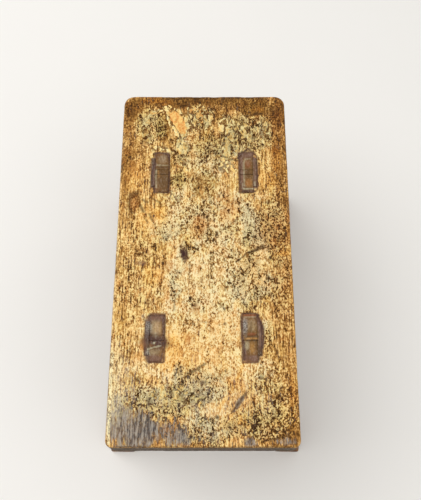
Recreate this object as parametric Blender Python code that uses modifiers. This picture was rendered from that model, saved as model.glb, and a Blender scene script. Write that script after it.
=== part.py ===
"""Low hearth stool: a plank seat on four legs that rake both ways, tied by four rails.

Each leg ends in a tenon that passes right through the seat, spread by a wedge driven across it
and packed with a slip along its outer cheek. The rails pass through the legs and are pegged.
X runs across the stool, Y along it and Z up. The origin is on the floor, under the seat's middle.
"""

import math

import bmesh
import bpy
from mathutils import Vector

# Seat plank, in metres like every size here
SEAT_LENGTH = 0.404
SEAT_WIDTH = 0.190
SEAT_THICKNESS = 0.032
SEAT_HEIGHT = 0.230
SEAT_CORNER_RADIUS = 0.009
SEAT_EDGE_ROUND = 0.0035

# Leg tenons, measured where they show on the seat's top: their middles from its ends and sides
TENON_FRONT_INSET = 0.1090
TENON_BACK_INSET = 0.1025
TENON_SIDE_INSET = 0.0472
TENON_WIDTH = 0.0150
TENON_LENGTH = 0.050

# Legs, measured level: a foot's middle stands inside the seat's end and outside its side
LEG_WIDTH = 0.033
LEG_DEPTH_TOP = 0.056
LEG_DEPTH_FOOT = 0.046
LEG_EDGE_ROUND = 0.0030
FOOT_END_INSET = 0.039
FOOT_SIDE_REACH = 0.011

# Wedge across the middle of each leg tenon
WEDGE_THICKNESS = 0.0055
WEDGE_TIP_THICKNESS = 0.0015
WEDGE_DEPTH = 0.024

# Packing slip along the outer cheek of each leg tenon
SLIP_THICKNESS = 0.0040
SLIP_LENGTH = 0.036

# End rails join the legs across the stool, side rails along it
RAIL_CLEARANCE = 0.060
END_RAIL_DEPTH = 0.030
END_RAIL_THICKNESS = 0.022
SIDE_RAIL_DEPTH = 0.028
SIDE_RAIL_THICKNESS = 0.020
RAIL_EDGE_ROUND = 0.0020
RAIL_TENON_THICKNESS = 0.010
RAIL_TENON_SHOULDER = 0.004
MORTISE_STEP = 0.022

# Pegs through the rail tenons
PEG_DIAMETER = 0.0070
PEG_PROUD = 0.0006
PEG_BLIND = 0.0060
PEG_SIDES = 16

# Gap left between pieces that touch, and how far a cutter or a joined shape runs past a face
FIT_GAP = 0.0003
OVERRUN = 0.006

# Segments along a rounded edge
EDGE_SEGMENTS = 3
CORNER_SEGMENTS = 6

# Sizes that follow from those above
UNDERSIDE = SEAT_HEIGHT - SEAT_THICKNESS
SHOULDER = UNDERSIDE - FIT_GAP
RAKE_ACROSS = (TENON_SIDE_INSET + FOOT_SIDE_REACH) / SEAT_HEIGHT
END_TENON_DEPTH = END_RAIL_DEPTH - 2 * RAIL_TENON_SHOULDER
SIDE_TENON_DEPTH = SIDE_RAIL_DEPTH - 2 * RAIL_TENON_SHOULDER
END_RAIL_HEIGHT = RAIL_CLEARANCE + END_RAIL_DEPTH / 2
SIDE_RAIL_HEIGHT = END_RAIL_HEIGHT + END_TENON_DEPTH / 2 + MORTISE_STEP + SIDE_TENON_DEPTH / 2

# Which way each side and end lies from the middle, and how far in each end's tenons stand
SIDES = {"left": -1, "right": 1}
ENDS = {"front": -1, "back": 1}
TENON_END_INSETS = {-1: TENON_FRONT_INSET, 1: TENON_BACK_INSET}

# Base colour and roughness of each kind of piece
FINISHES = {
    "seat_wood": ((0.45, 0.28, 0.11), 0.55),
    "leg_wood": ((0.20, 0.105, 0.045), 0.50),
    "rail_wood": ((0.22, 0.12, 0.05), 0.50),
    "wedge_wood": ((0.14, 0.075, 0.04), 0.55),
    "slip_wood": ((0.17, 0.11, 0.07), 0.60),
    "peg_wood": ((0.26, 0.15, 0.06), 0.50),
}


def clear_scene():
    """Removes every object that the file opened with."""
    for obj in list(bpy.data.objects):
        bpy.data.objects.remove(obj)


def make_collection(name):
    """A new collection in the scene."""
    collection = bpy.data.collections.new(name)
    bpy.context.scene.collection.children.link(collection)
    return collection


def make_finish(name):
    """A Principled material with one of the finishes."""
    colour, roughness = FINISHES[name]
    material = bpy.data.materials.new(name)
    material.use_nodes = True
    shader = material.node_tree.nodes["Principled BSDF"]
    shader.inputs["Base Color"].default_value = (*colour, 1.0)
    shader.inputs["Roughness"].default_value = roughness
    shader.inputs["Metallic"].default_value = 0.0
    return material


def leg_x(z):
    """How far a leg's middle stands from the stool's middle, across, at height z."""
    return SEAT_WIDTH / 2 - TENON_SIDE_INSET + RAKE_ACROSS * (SEAT_HEIGHT - z)


def leg_y(z, end):
    """How far the middle of a leg at that end stands from the stool's middle, along, at height z."""
    inset = TENON_END_INSETS[end]
    rake = (inset - FOOT_END_INSET) / SEAT_HEIGHT
    return SEAT_LENGTH / 2 - inset + rake * (SEAT_HEIGHT - z)


def leg_depth(z):
    """A leg's size along the stool at height z. It tapers from the shoulder to the foot."""
    return LEG_DEPTH_FOOT + (LEG_DEPTH_TOP - LEG_DEPTH_FOOT) * z / SHOULDER


def leg_outer_y(z, end):
    """How far a leg's outer end face stands from the stool's middle at height z."""
    return leg_y(z, end) + leg_depth(z) / 2


def leg_inner_y(z, end):
    """How far a leg's inner end face stands from the stool's middle at height z."""
    return leg_y(z, end) - leg_depth(z) / 2


def tenon_top(side, end):
    """The middle of a leg tenon's end, level with the seat's top."""
    return Vector((side * leg_x(SEAT_HEIGHT), end * leg_y(SEAT_HEIGHT, end), SEAT_HEIGHT))


def shaped_box(name, origin, corner):
    """A box primitive with its corners moved to corner(sx, sy, sz), where each sign is -1 or 1."""
    bm = bmesh.new()
    bmesh.ops.create_cube(bm, size=2.0)
    for vert in bm.verts:
        vert.co = Vector(corner(*(round(c) for c in vert.co))) - origin
    if bm.calc_volume(signed=True) < 0:
        bmesh.ops.reverse_faces(bm, faces=bm.faces)
    mesh = bpy.data.meshes.new(name)
    bm.to_mesh(mesh)
    bm.free()
    obj = bpy.data.objects.new(name, mesh)
    obj.location = origin
    return obj


def round_bar(name, radius, length, centre, axis):
    """A cylinder of that length, with its middle at centre, lying along axis."""
    bm = bmesh.new()
    bmesh.ops.create_cone(
        bm, cap_ends=True, segments=PEG_SIDES, radius1=radius, radius2=radius, depth=length
    )
    mesh = bpy.data.meshes.new(name)
    bm.to_mesh(mesh)
    bm.free()
    mesh.shade_smooth()
    mesh.set_sharp_from_angle(angle=math.radians(40))
    obj = bpy.data.objects.new(name, mesh)
    obj.location = centre
    obj.rotation_mode = "QUATERNION"
    obj.rotation_quaternion = axis.to_track_quat("Z", "Y")
    return obj


def ease_edges(obj, width, wanted):
    """Rounds the edges whose two ends, in the object's own frame, pass the test."""
    weights = obj.data.attributes.new("bevel_weight_edge", "FLOAT", "EDGE")
    for edge in obj.data.edges:
        ends = [obj.data.vertices[i].co for i in edge.vertices]
        weights.data[edge.index].value = float(wanted(*ends))
    bevel = obj.modifiers.new("ease", "BEVEL")
    bevel.limit_method = "WEIGHT"
    bevel.width = width
    bevel.segments = EDGE_SEGMENTS


class Stool:
    """Holds the collections, the finishes and the empty that every piece is parented to."""

    def __init__(self):
        self.parts = make_collection("hearth_stool")
        self.cutters = make_collection("cutters")
        self.finishes = {name: make_finish(name) for name in FINISHES}
        self.base = bpy.data.objects.new("stool_base", None)
        self.parts.objects.link(self.base)

    def add(self, obj, finish):
        """Makes an object one of the stool's pieces."""
        obj.data.materials.append(self.finishes[finish])
        obj.parent = self.base
        self.parts.objects.link(obj)
        return obj

    def combine(self, obj, other, operation):
        """Joins other to obj, or cuts it out, with a Boolean. Other is kept as a hidden helper."""
        other.hide_render = True
        other.display_type = "WIRE"
        if other.name not in self.cutters.objects:
            other.parent = self.base
            self.cutters.objects.link(other)
        boolean = obj.modifiers.new(operation.lower(), "BOOLEAN")
        boolean.operation = operation
        boolean.object = other
        boolean.solver = "EXACT"

    def cut(self, obj, other):
        """Cuts other out of obj."""
        self.combine(obj, other, "DIFFERENCE")

    def join(self, obj, other):
        """Joins other to obj."""
        self.combine(obj, other, "UNION")


def build_seat(stool):
    """The plank: round corners in plan, then eased arrises. Its mortises are cut later."""
    middle = Vector((0, 0, SEAT_HEIGHT - SEAT_THICKNESS / 2))

    def corner(sx, sy, sz):
        return sx * SEAT_WIDTH / 2, sy * SEAT_LENGTH / 2, middle.z + sz * SEAT_THICKNESS / 2

    seat = shaped_box("seat", middle, corner)
    bm = bmesh.new()
    bm.from_mesh(seat.data)
    upright = [e for e in bm.edges if abs(e.verts[0].co.z - e.verts[1].co.z) > SEAT_THICKNESS / 2]
    bmesh.ops.bevel(
        bm, geom=upright, offset=SEAT_CORNER_RADIUS, segments=CORNER_SEGMENTS, profile=0.5, affect="EDGES"
    )
    bm.to_mesh(seat.data)
    bm.free()
    ease_edges(seat, SEAT_EDGE_ROUND, lambda a, b: abs(a.z - b.z) < FIT_GAP)
    return stool.add(seat, "seat_wood")


def tenon_box(name, side, end, low, high, spare):
    """A leg tenon, or with spare wood all round its mortise, from height low to height high."""

    def corner(sx, sy, sz):
        z = high if sz > 0 else low
        x = leg_x(z) + sx * (TENON_WIDTH / 2 + spare)
        y = leg_y(z, end) + sy * (TENON_LENGTH / 2 + spare)
        return side * x, end * y, z

    return shaped_box(name, tenon_top(side, end), corner)


def wedge_box(name, side, end, spare, rise):
    """The wedge in a leg tenon, or its kerf: spare on each face, and rise past the tenon's top."""
    tip = SEAT_HEIGHT - WEDGE_DEPTH - spare
    top = SEAT_HEIGHT + rise
    taper = (WEDGE_THICKNESS - WEDGE_TIP_THICKNESS) / WEDGE_DEPTH
    across = TENON_WIDTH / 2 + rise

    def corner(sx, sy, sz):
        z = top if sz > 0 else tip
        half = (WEDGE_THICKNESS + taper * (z - SEAT_HEIGHT)) / 2 + spare
        return side * (leg_x(z) + sx * across), end * (leg_y(z, end) + sy * half), z

    return shaped_box(name, tenon_top(side, end), corner)


def slip_box(name, side, end, low, high, spare):
    """The packing slip outside a leg tenon, or with spare its room in the seat."""
    inner = TENON_WIDTH / 2 + FIT_GAP

    def corner(sx, sy, sz):
        z = high if sz > 0 else low
        offset = inner + (SLIP_THICKNESS + spare if sx > 0 else -spare)
        y = leg_y(z, end) + sy * (SLIP_LENGTH / 2 + spare)
        return side * (leg_x(z) + offset), end * y, z

    return shaped_box(name, tenon_top(side, end), corner)


def build_leg(stool, seat, corner_name, side, end):
    """One raked, tapered leg with its seat tenon, and that tenon's mortise, wedge and slip."""
    origin = tenon_top(side, end)

    def corner(sx, sy, sz):
        z = SHOULDER if sz > 0 else 0.0
        x = leg_x(z) + sx * LEG_WIDTH / 2
        y = leg_y(z, end) + sy * leg_depth(z) / 2
        return side * x, end * y, z

    leg = shaped_box(f"leg_{corner_name}", origin, corner)
    shoulder = SHOULDER - origin.z
    ease_edges(leg, LEG_EDGE_ROUND, lambda a, b: min(a.z, b.z) < shoulder - FIT_GAP)
    stool.add(leg, "leg_wood")
    stool.join(leg, tenon_box(f"tenon_{corner_name}", side, end, SHOULDER - OVERRUN, SEAT_HEIGHT, 0.0))
    stool.cut(leg, wedge_box(f"kerf_{corner_name}", side, end, FIT_GAP, OVERRUN))

    below, above = UNDERSIDE - OVERRUN, SEAT_HEIGHT + OVERRUN
    stool.cut(seat, tenon_box(f"mortise_{corner_name}", side, end, below, above, FIT_GAP))
    stool.cut(seat, slip_box(f"slip_room_{corner_name}", side, end, below, above, FIT_GAP))
    stool.add(wedge_box(f"wedge_{corner_name}", side, end, 0.0, 0.0), "wedge_wood")
    stool.add(slip_box(f"slip_{corner_name}", side, end, UNDERSIDE, SEAT_HEIGHT, 0.0), "slip_wood")
    return leg


def across_box(name, end, height, depth, thickness, half_length, spare):
    """A bar across the stool at one end, leaning with the legs. half_length(z) gives its reach."""

    def corner(sx, sy, sz):
        z = height + sz * (depth / 2 + spare)
        return sx * half_length(z), end * (leg_y(z, end) + sy * (thickness / 2 + spare)), z

    return shaped_box(name, Vector((0, end * leg_y(height, end), height)), corner)


def along_box(name, side, height, depth, thickness, reach, spare):
    """A bar along the stool at one side, leaning with the legs. reach(z, end) is from the middle."""

    def corner(sx, sy, sz):
        z = height + sz * (depth / 2 + spare)
        return side * (leg_x(z) + sx * (thickness / 2 + spare)), sy * reach(z, sy), z

    return shaped_box(name, Vector((side * leg_x(height), 0, height)), corner)


def add_peg(stool, rail, leg, name, centre, outward, to_face):
    """A peg through a rail tenon, driven in square to the leg's outer face, and its hole."""
    head = to_face + PEG_PROUD
    tail = to_face - PEG_BLIND
    middle = centre + outward * (head - tail) / 2
    peg = round_bar(name, PEG_DIAMETER / 2, head + tail, middle, outward)
    stool.add(peg, "peg_wood")
    outer, inner = to_face + OVERRUN, tail + FIT_GAP
    hole = round_bar(
        f"hole_{name}", PEG_DIAMETER / 2 + FIT_GAP, outer + inner,
        centre + outward * (outer - inner) / 2, outward,
    )
    stool.cut(leg, hole)
    stool.cut(rail, hole)


def build_end_rail(stool, legs, end_name, end):
    """A rail across one end: shoulders against the legs, tenons through them, a peg in each."""
    rail = across_box(
        f"end_rail_{end_name}", end, END_RAIL_HEIGHT, END_RAIL_DEPTH, END_RAIL_THICKNESS,
        lambda z: leg_x(z) - LEG_WIDTH / 2 - FIT_GAP, 0.0,
    )
    ease_edges(rail, RAIL_EDGE_ROUND, lambda a, b: a.x * b.x < 0)
    stool.add(rail, "rail_wood")
    tenon = (end, END_RAIL_HEIGHT, END_TENON_DEPTH, RAIL_TENON_THICKNESS)
    stool.join(rail, across_box(f"end_tenon_{end_name}", *tenon, lambda z: leg_x(z) + LEG_WIDTH / 2, 0.0))
    mortise = across_box(
        f"end_mortise_{end_name}", *tenon, lambda z: leg_x(z) + LEG_WIDTH / 2 + OVERRUN, FIT_GAP
    )
    lean = (leg_outer_y(0.0, end) - leg_outer_y(SHOULDER, end)) / SHOULDER
    outward = Vector((0, end, lean)).normalized()
    z = END_RAIL_HEIGHT
    to_face = leg_depth(z) / 2 * abs(outward.y)
    for side_name, side in SIDES.items():
        leg = legs[f"{end_name}_{side_name}"]
        stool.cut(leg, mortise)
        centre = Vector((side * leg_x(z), end * leg_y(z, end), z))
        name = f"end_peg_{end_name}_{side_name}"
        add_peg(stool, rail, leg, name, centre, outward, to_face)


def build_side_rail(stool, legs, side_name, side):
    """A rail along one side, above the end rails, so that their mortises miss each other."""
    rail = along_box(
        f"side_rail_{side_name}", side, SIDE_RAIL_HEIGHT, SIDE_RAIL_DEPTH, SIDE_RAIL_THICKNESS,
        lambda z, end: leg_inner_y(z, end) - FIT_GAP, 0.0,
    )
    ease_edges(rail, RAIL_EDGE_ROUND, lambda a, b: a.y * b.y < 0)
    stool.add(rail, "rail_wood")
    tenon = (side, SIDE_RAIL_HEIGHT, SIDE_TENON_DEPTH, RAIL_TENON_THICKNESS)
    stool.join(rail, along_box(f"side_tenon_{side_name}", *tenon, leg_outer_y, 0.0))
    mortise = along_box(
        f"side_mortise_{side_name}", *tenon, lambda z, end: leg_outer_y(z, end) + OVERRUN, FIT_GAP
    )
    outward = Vector((side, 0, RAKE_ACROSS)).normalized()
    z = SIDE_RAIL_HEIGHT
    to_face = LEG_WIDTH / 2 * abs(outward.x)
    for end_name, end in ENDS.items():
        leg = legs[f"{end_name}_{side_name}"]
        stool.cut(leg, mortise)
        centre = Vector((side * leg_x(z), end * leg_y(z, end), z))
        name = f"side_peg_{end_name}_{side_name}"
        add_peg(stool, rail, leg, name, centre, outward, to_face)


def main():
    """Builds the seat, then the legs into it, then the rails into the legs."""
    clear_scene()
    stool = Stool()
    seat = build_seat(stool)
    legs = {}
    for end_name, end in ENDS.items():
        for side_name, side in SIDES.items():
            corner_name = f"{end_name}_{side_name}"
            legs[corner_name] = build_leg(stool, seat, corner_name, side, end)
    for end_name, end in ENDS.items():
        build_end_rail(stool, legs, end_name, end)
    for side_name, side in SIDES.items():
        build_side_rail(stool, legs, side_name, side)


main()
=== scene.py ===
"""Looks of a low hearth stool: an old elm plank seat on four raked, pegged legs.

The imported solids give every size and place. Each piece here is a worn copy of one solid: its faces
are made dense enough to hold real dents, eased arrises and open joints, and a procedural wood
finish follows the grain of that piece. Lengths are in metres, and marks on the seat in millimetres.
"""

import logging
import math
from dataclasses import dataclass, field
from enum import Enum

import bmesh
import bpy
import numpy as np
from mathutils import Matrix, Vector
from mathutils.bvhtree import BVHTree

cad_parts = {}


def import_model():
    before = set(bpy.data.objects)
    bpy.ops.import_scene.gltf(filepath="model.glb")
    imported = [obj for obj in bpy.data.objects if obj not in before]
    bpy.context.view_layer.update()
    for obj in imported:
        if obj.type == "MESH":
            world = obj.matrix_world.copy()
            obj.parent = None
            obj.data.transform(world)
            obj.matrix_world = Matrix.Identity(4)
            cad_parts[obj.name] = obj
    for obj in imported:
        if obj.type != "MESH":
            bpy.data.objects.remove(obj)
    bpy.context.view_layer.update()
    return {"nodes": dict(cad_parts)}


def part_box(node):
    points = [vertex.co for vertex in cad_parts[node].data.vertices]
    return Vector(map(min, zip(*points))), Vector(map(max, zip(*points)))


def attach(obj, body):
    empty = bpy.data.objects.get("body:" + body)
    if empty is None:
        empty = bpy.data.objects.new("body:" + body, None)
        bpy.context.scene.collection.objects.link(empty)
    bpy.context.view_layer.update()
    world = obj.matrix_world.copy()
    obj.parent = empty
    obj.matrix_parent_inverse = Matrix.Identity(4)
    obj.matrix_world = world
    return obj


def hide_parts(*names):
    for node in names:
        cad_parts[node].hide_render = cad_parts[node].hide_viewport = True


LOG = logging.getLogger("hearth_stool")
MM = 0.001
BODY = "root"

Triple = tuple[float, float, float]
RGB = Triple
Stops = tuple[tuple[float, RGB], ...]
Socket = bpy.types.NodeSocket
Source = Socket | float | RGB


def srgb(red: int, green: int, blue: int) -> RGB:
    """A colour as the eye reads it, turned into linear light.

    Args:
        red: Red, 0 to 255.
        green: Green, 0 to 255.
        blue: Blue, 0 to 255.

    Returns:
        The linear colour, 0 to 1.
    """
    def linear(value: int) -> float:
        """One channel in linear light."""
        share = value / 255
        return share / 12.92 if share <= 0.04045 else ((share + 0.055) / 1.055) ** 2.4

    return linear(red), linear(green), linear(blue)


def smoothstep(low: float, high: float, value: np.ndarray) -> np.ndarray:
    """Eases values from 0 at the low end to 1 at the high end."""
    share = np.clip((value - low) / (high - low), 0.0, 1.0)
    return share * share * (3.0 - 2.0 * share)


def finished(bm: bmesh.types.BMesh, name: str) -> bpy.types.Mesh:
    """Turns a mesh that is being built into a finished one.

    Args:
        bm: The mesh being built, which is freed.
        name: The finished mesh's name.

    Returns:
        The finished mesh.
    """
    mesh = bpy.data.meshes.new(name)
    bm.to_mesh(mesh)
    bm.free()
    return mesh


def placed(name: str, data: bpy.types.ID) -> bpy.types.Object:
    """Puts a mesh, a lamp or a camera in the scene.

    Args:
        name: The object's name.
        data: What it shows.

    Returns:
        The object.
    """
    made = bpy.data.objects.new(name, data)
    bpy.context.scene.collection.objects.link(made)
    return made


class Noise:
    """Smooth noise over points, the same on every run.

    Attributes:
        PRIMES: What a cell's three numbers and the seed are multiplied by.
        STIRS: How far each stir shifts the mixed number, and what it multiplies it by.
        LAST_SHIFT: How far the mixed number is shifted at the end.
        WORD: Keeps the mixed number within 32 bits.
        LEVELS: The largest value that is left of it.
        OCTAVE_SEED: How far apart the seeds of two octaves are.
        OCTAVE_SHARE: How strong each octave is beside the one before.
    """

    PRIMES = (374761393, 668265263, 1440662683, 974634777)
    STIRS = ((13, 1274126177), (15, 2246822519))
    LAST_SHIFT = 16
    WORD = 0xFFFFFFFF
    LEVELS = 0xFFFF
    OCTAVE_SEED = 17
    OCTAVE_SHARE = 0.55

    @classmethod
    def lattice(cls, cell: np.ndarray, seed: int) -> np.ndarray:
        """A fixed random value for each lattice cell.

        Args:
            cell: Whole numbers, one row of three for each point.
            seed: Which noise this is.

        Returns:
            Values from 0 to 1.
        """
        first, second, third, fourth = cls.PRIMES
        mixed = cell[:, 0] * first + cell[:, 1] * second + cell[:, 2] * third + seed * fourth
        for shift, factor in cls.STIRS:
            mixed = (mixed ^ (mixed >> shift)) * factor & cls.WORD
        return ((mixed ^ (mixed >> cls.LAST_SHIFT)) & cls.LEVELS) / cls.LEVELS

    @classmethod
    def smooth(cls, points: np.ndarray, seed: int) -> np.ndarray:
        """One octave of noise with features one unit wide.

        Args:
            points: One row of three for each point.
            seed: Which noise this is.

        Returns:
            Values from 0 to 1.
        """
        floor = np.floor(points).astype(np.int64)
        part = points - floor
        part = part * part * (3.0 - 2.0 * part)
        total = np.zeros(len(points))
        for corner in np.ndindex(2, 2, 2):
            weight = np.prod(np.where(corner, part, 1.0 - part), axis=1)
            total += weight * cls.lattice(floor + np.array(corner), seed)
        return total

    @classmethod
    def rough(cls, points: np.ndarray, size: Triple, seed: int, octaves: int = 3) -> np.ndarray:
        """Several octaves of noise.

        Args:
            points: One row of three for each point, in metres.
            size: How wide the largest features are along each axis, in metres.
            seed: Which noise this is.
            octaves: How many octaves there are, each twice as fine as the one before.

        Returns:
            Values around 0, mostly within -0.5 to 0.5.
        """
        total = np.zeros(len(points))
        share = 1.0
        whole = 0.0
        for octave in range(octaves):
            scaled = points / np.array(size) * 2 ** octave
            total += share * cls.smooth(scaled, seed + cls.OCTAVE_SEED * octave)
            whole += share
            share *= cls.OCTAVE_SHARE
        return total / whole - 0.5


class Layer(Enum):
    """What a mark on the seat is made of, or the light or shade it paints. The value is the name of its
    attribute on the mesh.
    """

    PALE = "pale"
    AMBER = "amber"
    STAIN = "stain"
    RUST = "rust"
    GREY = "grey"
    CHALK_AND_HIGHLIGHT = "chalk_and_highlight"
    FLAKE = "flake"
    PEACH = "peach"
    GRIME = "grime"
    TAR = "tar"
    CUT = "cut"
    OLIVE = "olive"
    PLUM = "plum"
    CREAM = "cream"


class Grain(Enum):
    """Which way a piece's grain runs. The value is the row axis that it is nearest to."""

    ACROSS = 0
    ALONG = 1
    UP = 2


class Graph:
    """Builds the nodes of one material with short calls."""

    def __init__(self, name: str) -> None:
        """Starts a material with an empty Principled shader.

        Args:
            name: The material's name.
        """
        self.material = bpy.data.materials.new(name)
        self.material.use_nodes = True
        self.tree = self.material.node_tree
        self.shader = self.tree.nodes["Principled BSDF"]

    def node(self, kind: str, inputs: dict[str | int, Source], **settings: object) -> bpy.types.Node:
        """Adds a node.

        Args:
            kind: The node's type name.
            inputs: What its inputs are fed, by name or by place.
            settings: Properties to set on it.

        Returns:
            The node.
        """
        made = self.tree.nodes.new(kind)
        for key, value in settings.items():
            setattr(made, key, value)
        for key, source in inputs.items():
            self.feed(made.inputs[key], source)
        return made

    def feed(self, target: Socket, source: Source) -> None:
        """Links a socket, or sets a constant on it.

        Args:
            target: The input.
            source: An output to link, a number or a colour.
        """
        if isinstance(source, bpy.types.NodeSocket):
            self.tree.links.new(source, target)
        elif isinstance(source, tuple) and len(target.default_value) == 4:
            target.default_value = (*source, 1.0)
        else:
            target.default_value = source

    def attribute(self, name: str, output: str = "Fac") -> Socket:
        """Reads an attribute of the mesh, as a value or by the output that is named."""
        return self.node("ShaderNodeAttribute", {}, attribute_name=name).outputs[output]

    def stretch(self, vector: Socket, scale: Triple, shift: Triple = (0.0, 0.0, 0.0)) -> Socket:
        """Scales a vector along each axis, then shifts it."""
        inputs = {"Vector": vector, "Scale": scale, "Location": shift}
        return self.node("ShaderNodeMapping", inputs).outputs["Vector"]

    def noise(
        self, vector: Socket, detail: float = 4.0, roughness: float = 0.6, distortion: float = 0.0
    ) -> Socket:
        """Noise with features one unit wide.

        Args:
            vector: Where the noise is read.
            detail: How many finer octaves it has.
            roughness: How strong those are.
            distortion: How far it is warped.

        Returns:
            Values around a half.
        """
        inputs = {"Vector": vector, "Scale": 1.0, "Detail": detail}
        inputs.update({"Roughness": roughness, "Distortion": distortion})
        return self.node("ShaderNodeTexNoise", inputs).outputs["Fac"]

    def math(self, operation: str, first: Socket | float, second: Socket | float = 0.0) -> Socket:
        """Arithmetic on two values, by a Math node's operation."""
        return self.node("ShaderNodeMath", {0: first, 1: second}, operation=operation).outputs[0]

    def mean(self, first: Socket, second: Socket, share: float) -> Socket:
        """A mean of two values, of which the second counts for the given share."""
        rest = self.math("MULTIPLY", first, 1.0 - share)
        return self.math("ADD", rest, self.math("MULTIPLY", second, share))

    def push(self, value: Socket | float, noise: Socket, strength: float) -> Socket:
        """Roughens a value with noise around a half, as far as its strength says."""
        moved = self.math("MULTIPLY", self.math("SUBTRACT", noise, 0.5), strength)
        return self.math("ADD", value, moved)

    def span(self, value: Socket, low: float, high: float, bottom: float = 0.0, top: float = 1.0) -> Socket:
        """Eases a value from between low and high to between bottom and top."""
        inputs = {"Value": value, "From Min": low, "From Max": high, "To Min": bottom, "To Max": top}
        return self.node("ShaderNodeMapRange", inputs, interpolation_type="SMOOTHSTEP").outputs["Result"]

    def blend(
        self, share: Socket | float, under: Socket | RGB, over: Socket | RGB, mode: str = "MIX"
    ) -> Socket:
        """Lays a share of one colour over another, as a Mix node's mode says."""
        settings = {"data_type": "RGBA", "blend_type": mode, "clamp_factor": True}
        return self.node("ShaderNodeMix", {0: share, 6: under, 7: over}, **settings).outputs[2]

    def ramp(self, value: Socket, stops: Stops) -> Socket:
        """Turns a value into a colour by way of several stops.

        Args:
            value: The value, 0 to 1.
            stops: Where each colour stands, in rising order.

        Returns:
            The colour.
        """
        made = self.node("ShaderNodeValToRGB", {"Fac": value})
        elements = made.color_ramp.elements
        for place, _ in stops[1:-1]:
            elements.new(place)
        for element, (place, colour) in zip(elements, stops):
            element.position = place
            element.color = (*colour, 1.0)
        return made.outputs["Color"]

    def bump(self, height: Socket, distance: float) -> None:
        """Gives the shader a bump, in which a height of 1 stands out by the distance."""
        made = self.node("ShaderNodeBump", {"Strength": 1.0, "Distance": distance, "Height": height})
        self.feed(self.shader.inputs["Normal"], made.outputs["Normal"])


class WoodGraph(Graph):
    """Builds the nodes of one wood, which reads its grain and its marks from the mesh."""

    def __init__(self, name: str) -> None:
        """Starts the material and reads the mesh.

        Args:
            name: The material's name.
        """
        super().__init__(name)
        self.grain = self.attribute("grain", "Vector")
        self.layer = {kind: self.attribute(kind.value) for kind in Layer}


@dataclass(frozen=True)
class Pigments:
    """Colours of the marks that the seat shares with the ends of its joints.

    Attributes:
        amber: Clear warm wood where the old coat has gone.
        rust: Reddish brown tint.
        silver: Weathered wood, light streaks.
        slate: Weathered wood, dark streaks.
        chalk_and_highlight: Dull greyish white rubbed into the grain, also laid as a painted glint on the
            near-left joint's wedge.
        soot: Dark brown grime, also laid as painted shade lines along the seat's left side and near end.
        umber: Brown of the wood bared by flakes.
        tar: Purple-black of old glue and dirt in the joints.
        olive: Drab end grain of the joints.
        plum: Purple-grey of old glue round the joints.
    """

    amber: RGB = srgb(232, 168, 84)
    rust: RGB = srgb(146, 84, 46)
    silver: RGB = srgb(184, 174, 160)
    slate: RGB = srgb(82, 76, 74)
    chalk_and_highlight: RGB = srgb(228, 222, 184)
    soot: RGB = srgb(78, 52, 26)
    umber: RGB = srgb(94, 54, 12)
    tar: RGB = srgb(74, 48, 44)
    olive: RGB = srgb(128, 94, 48)
    plum: RGB = srgb(126, 94, 80)


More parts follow.
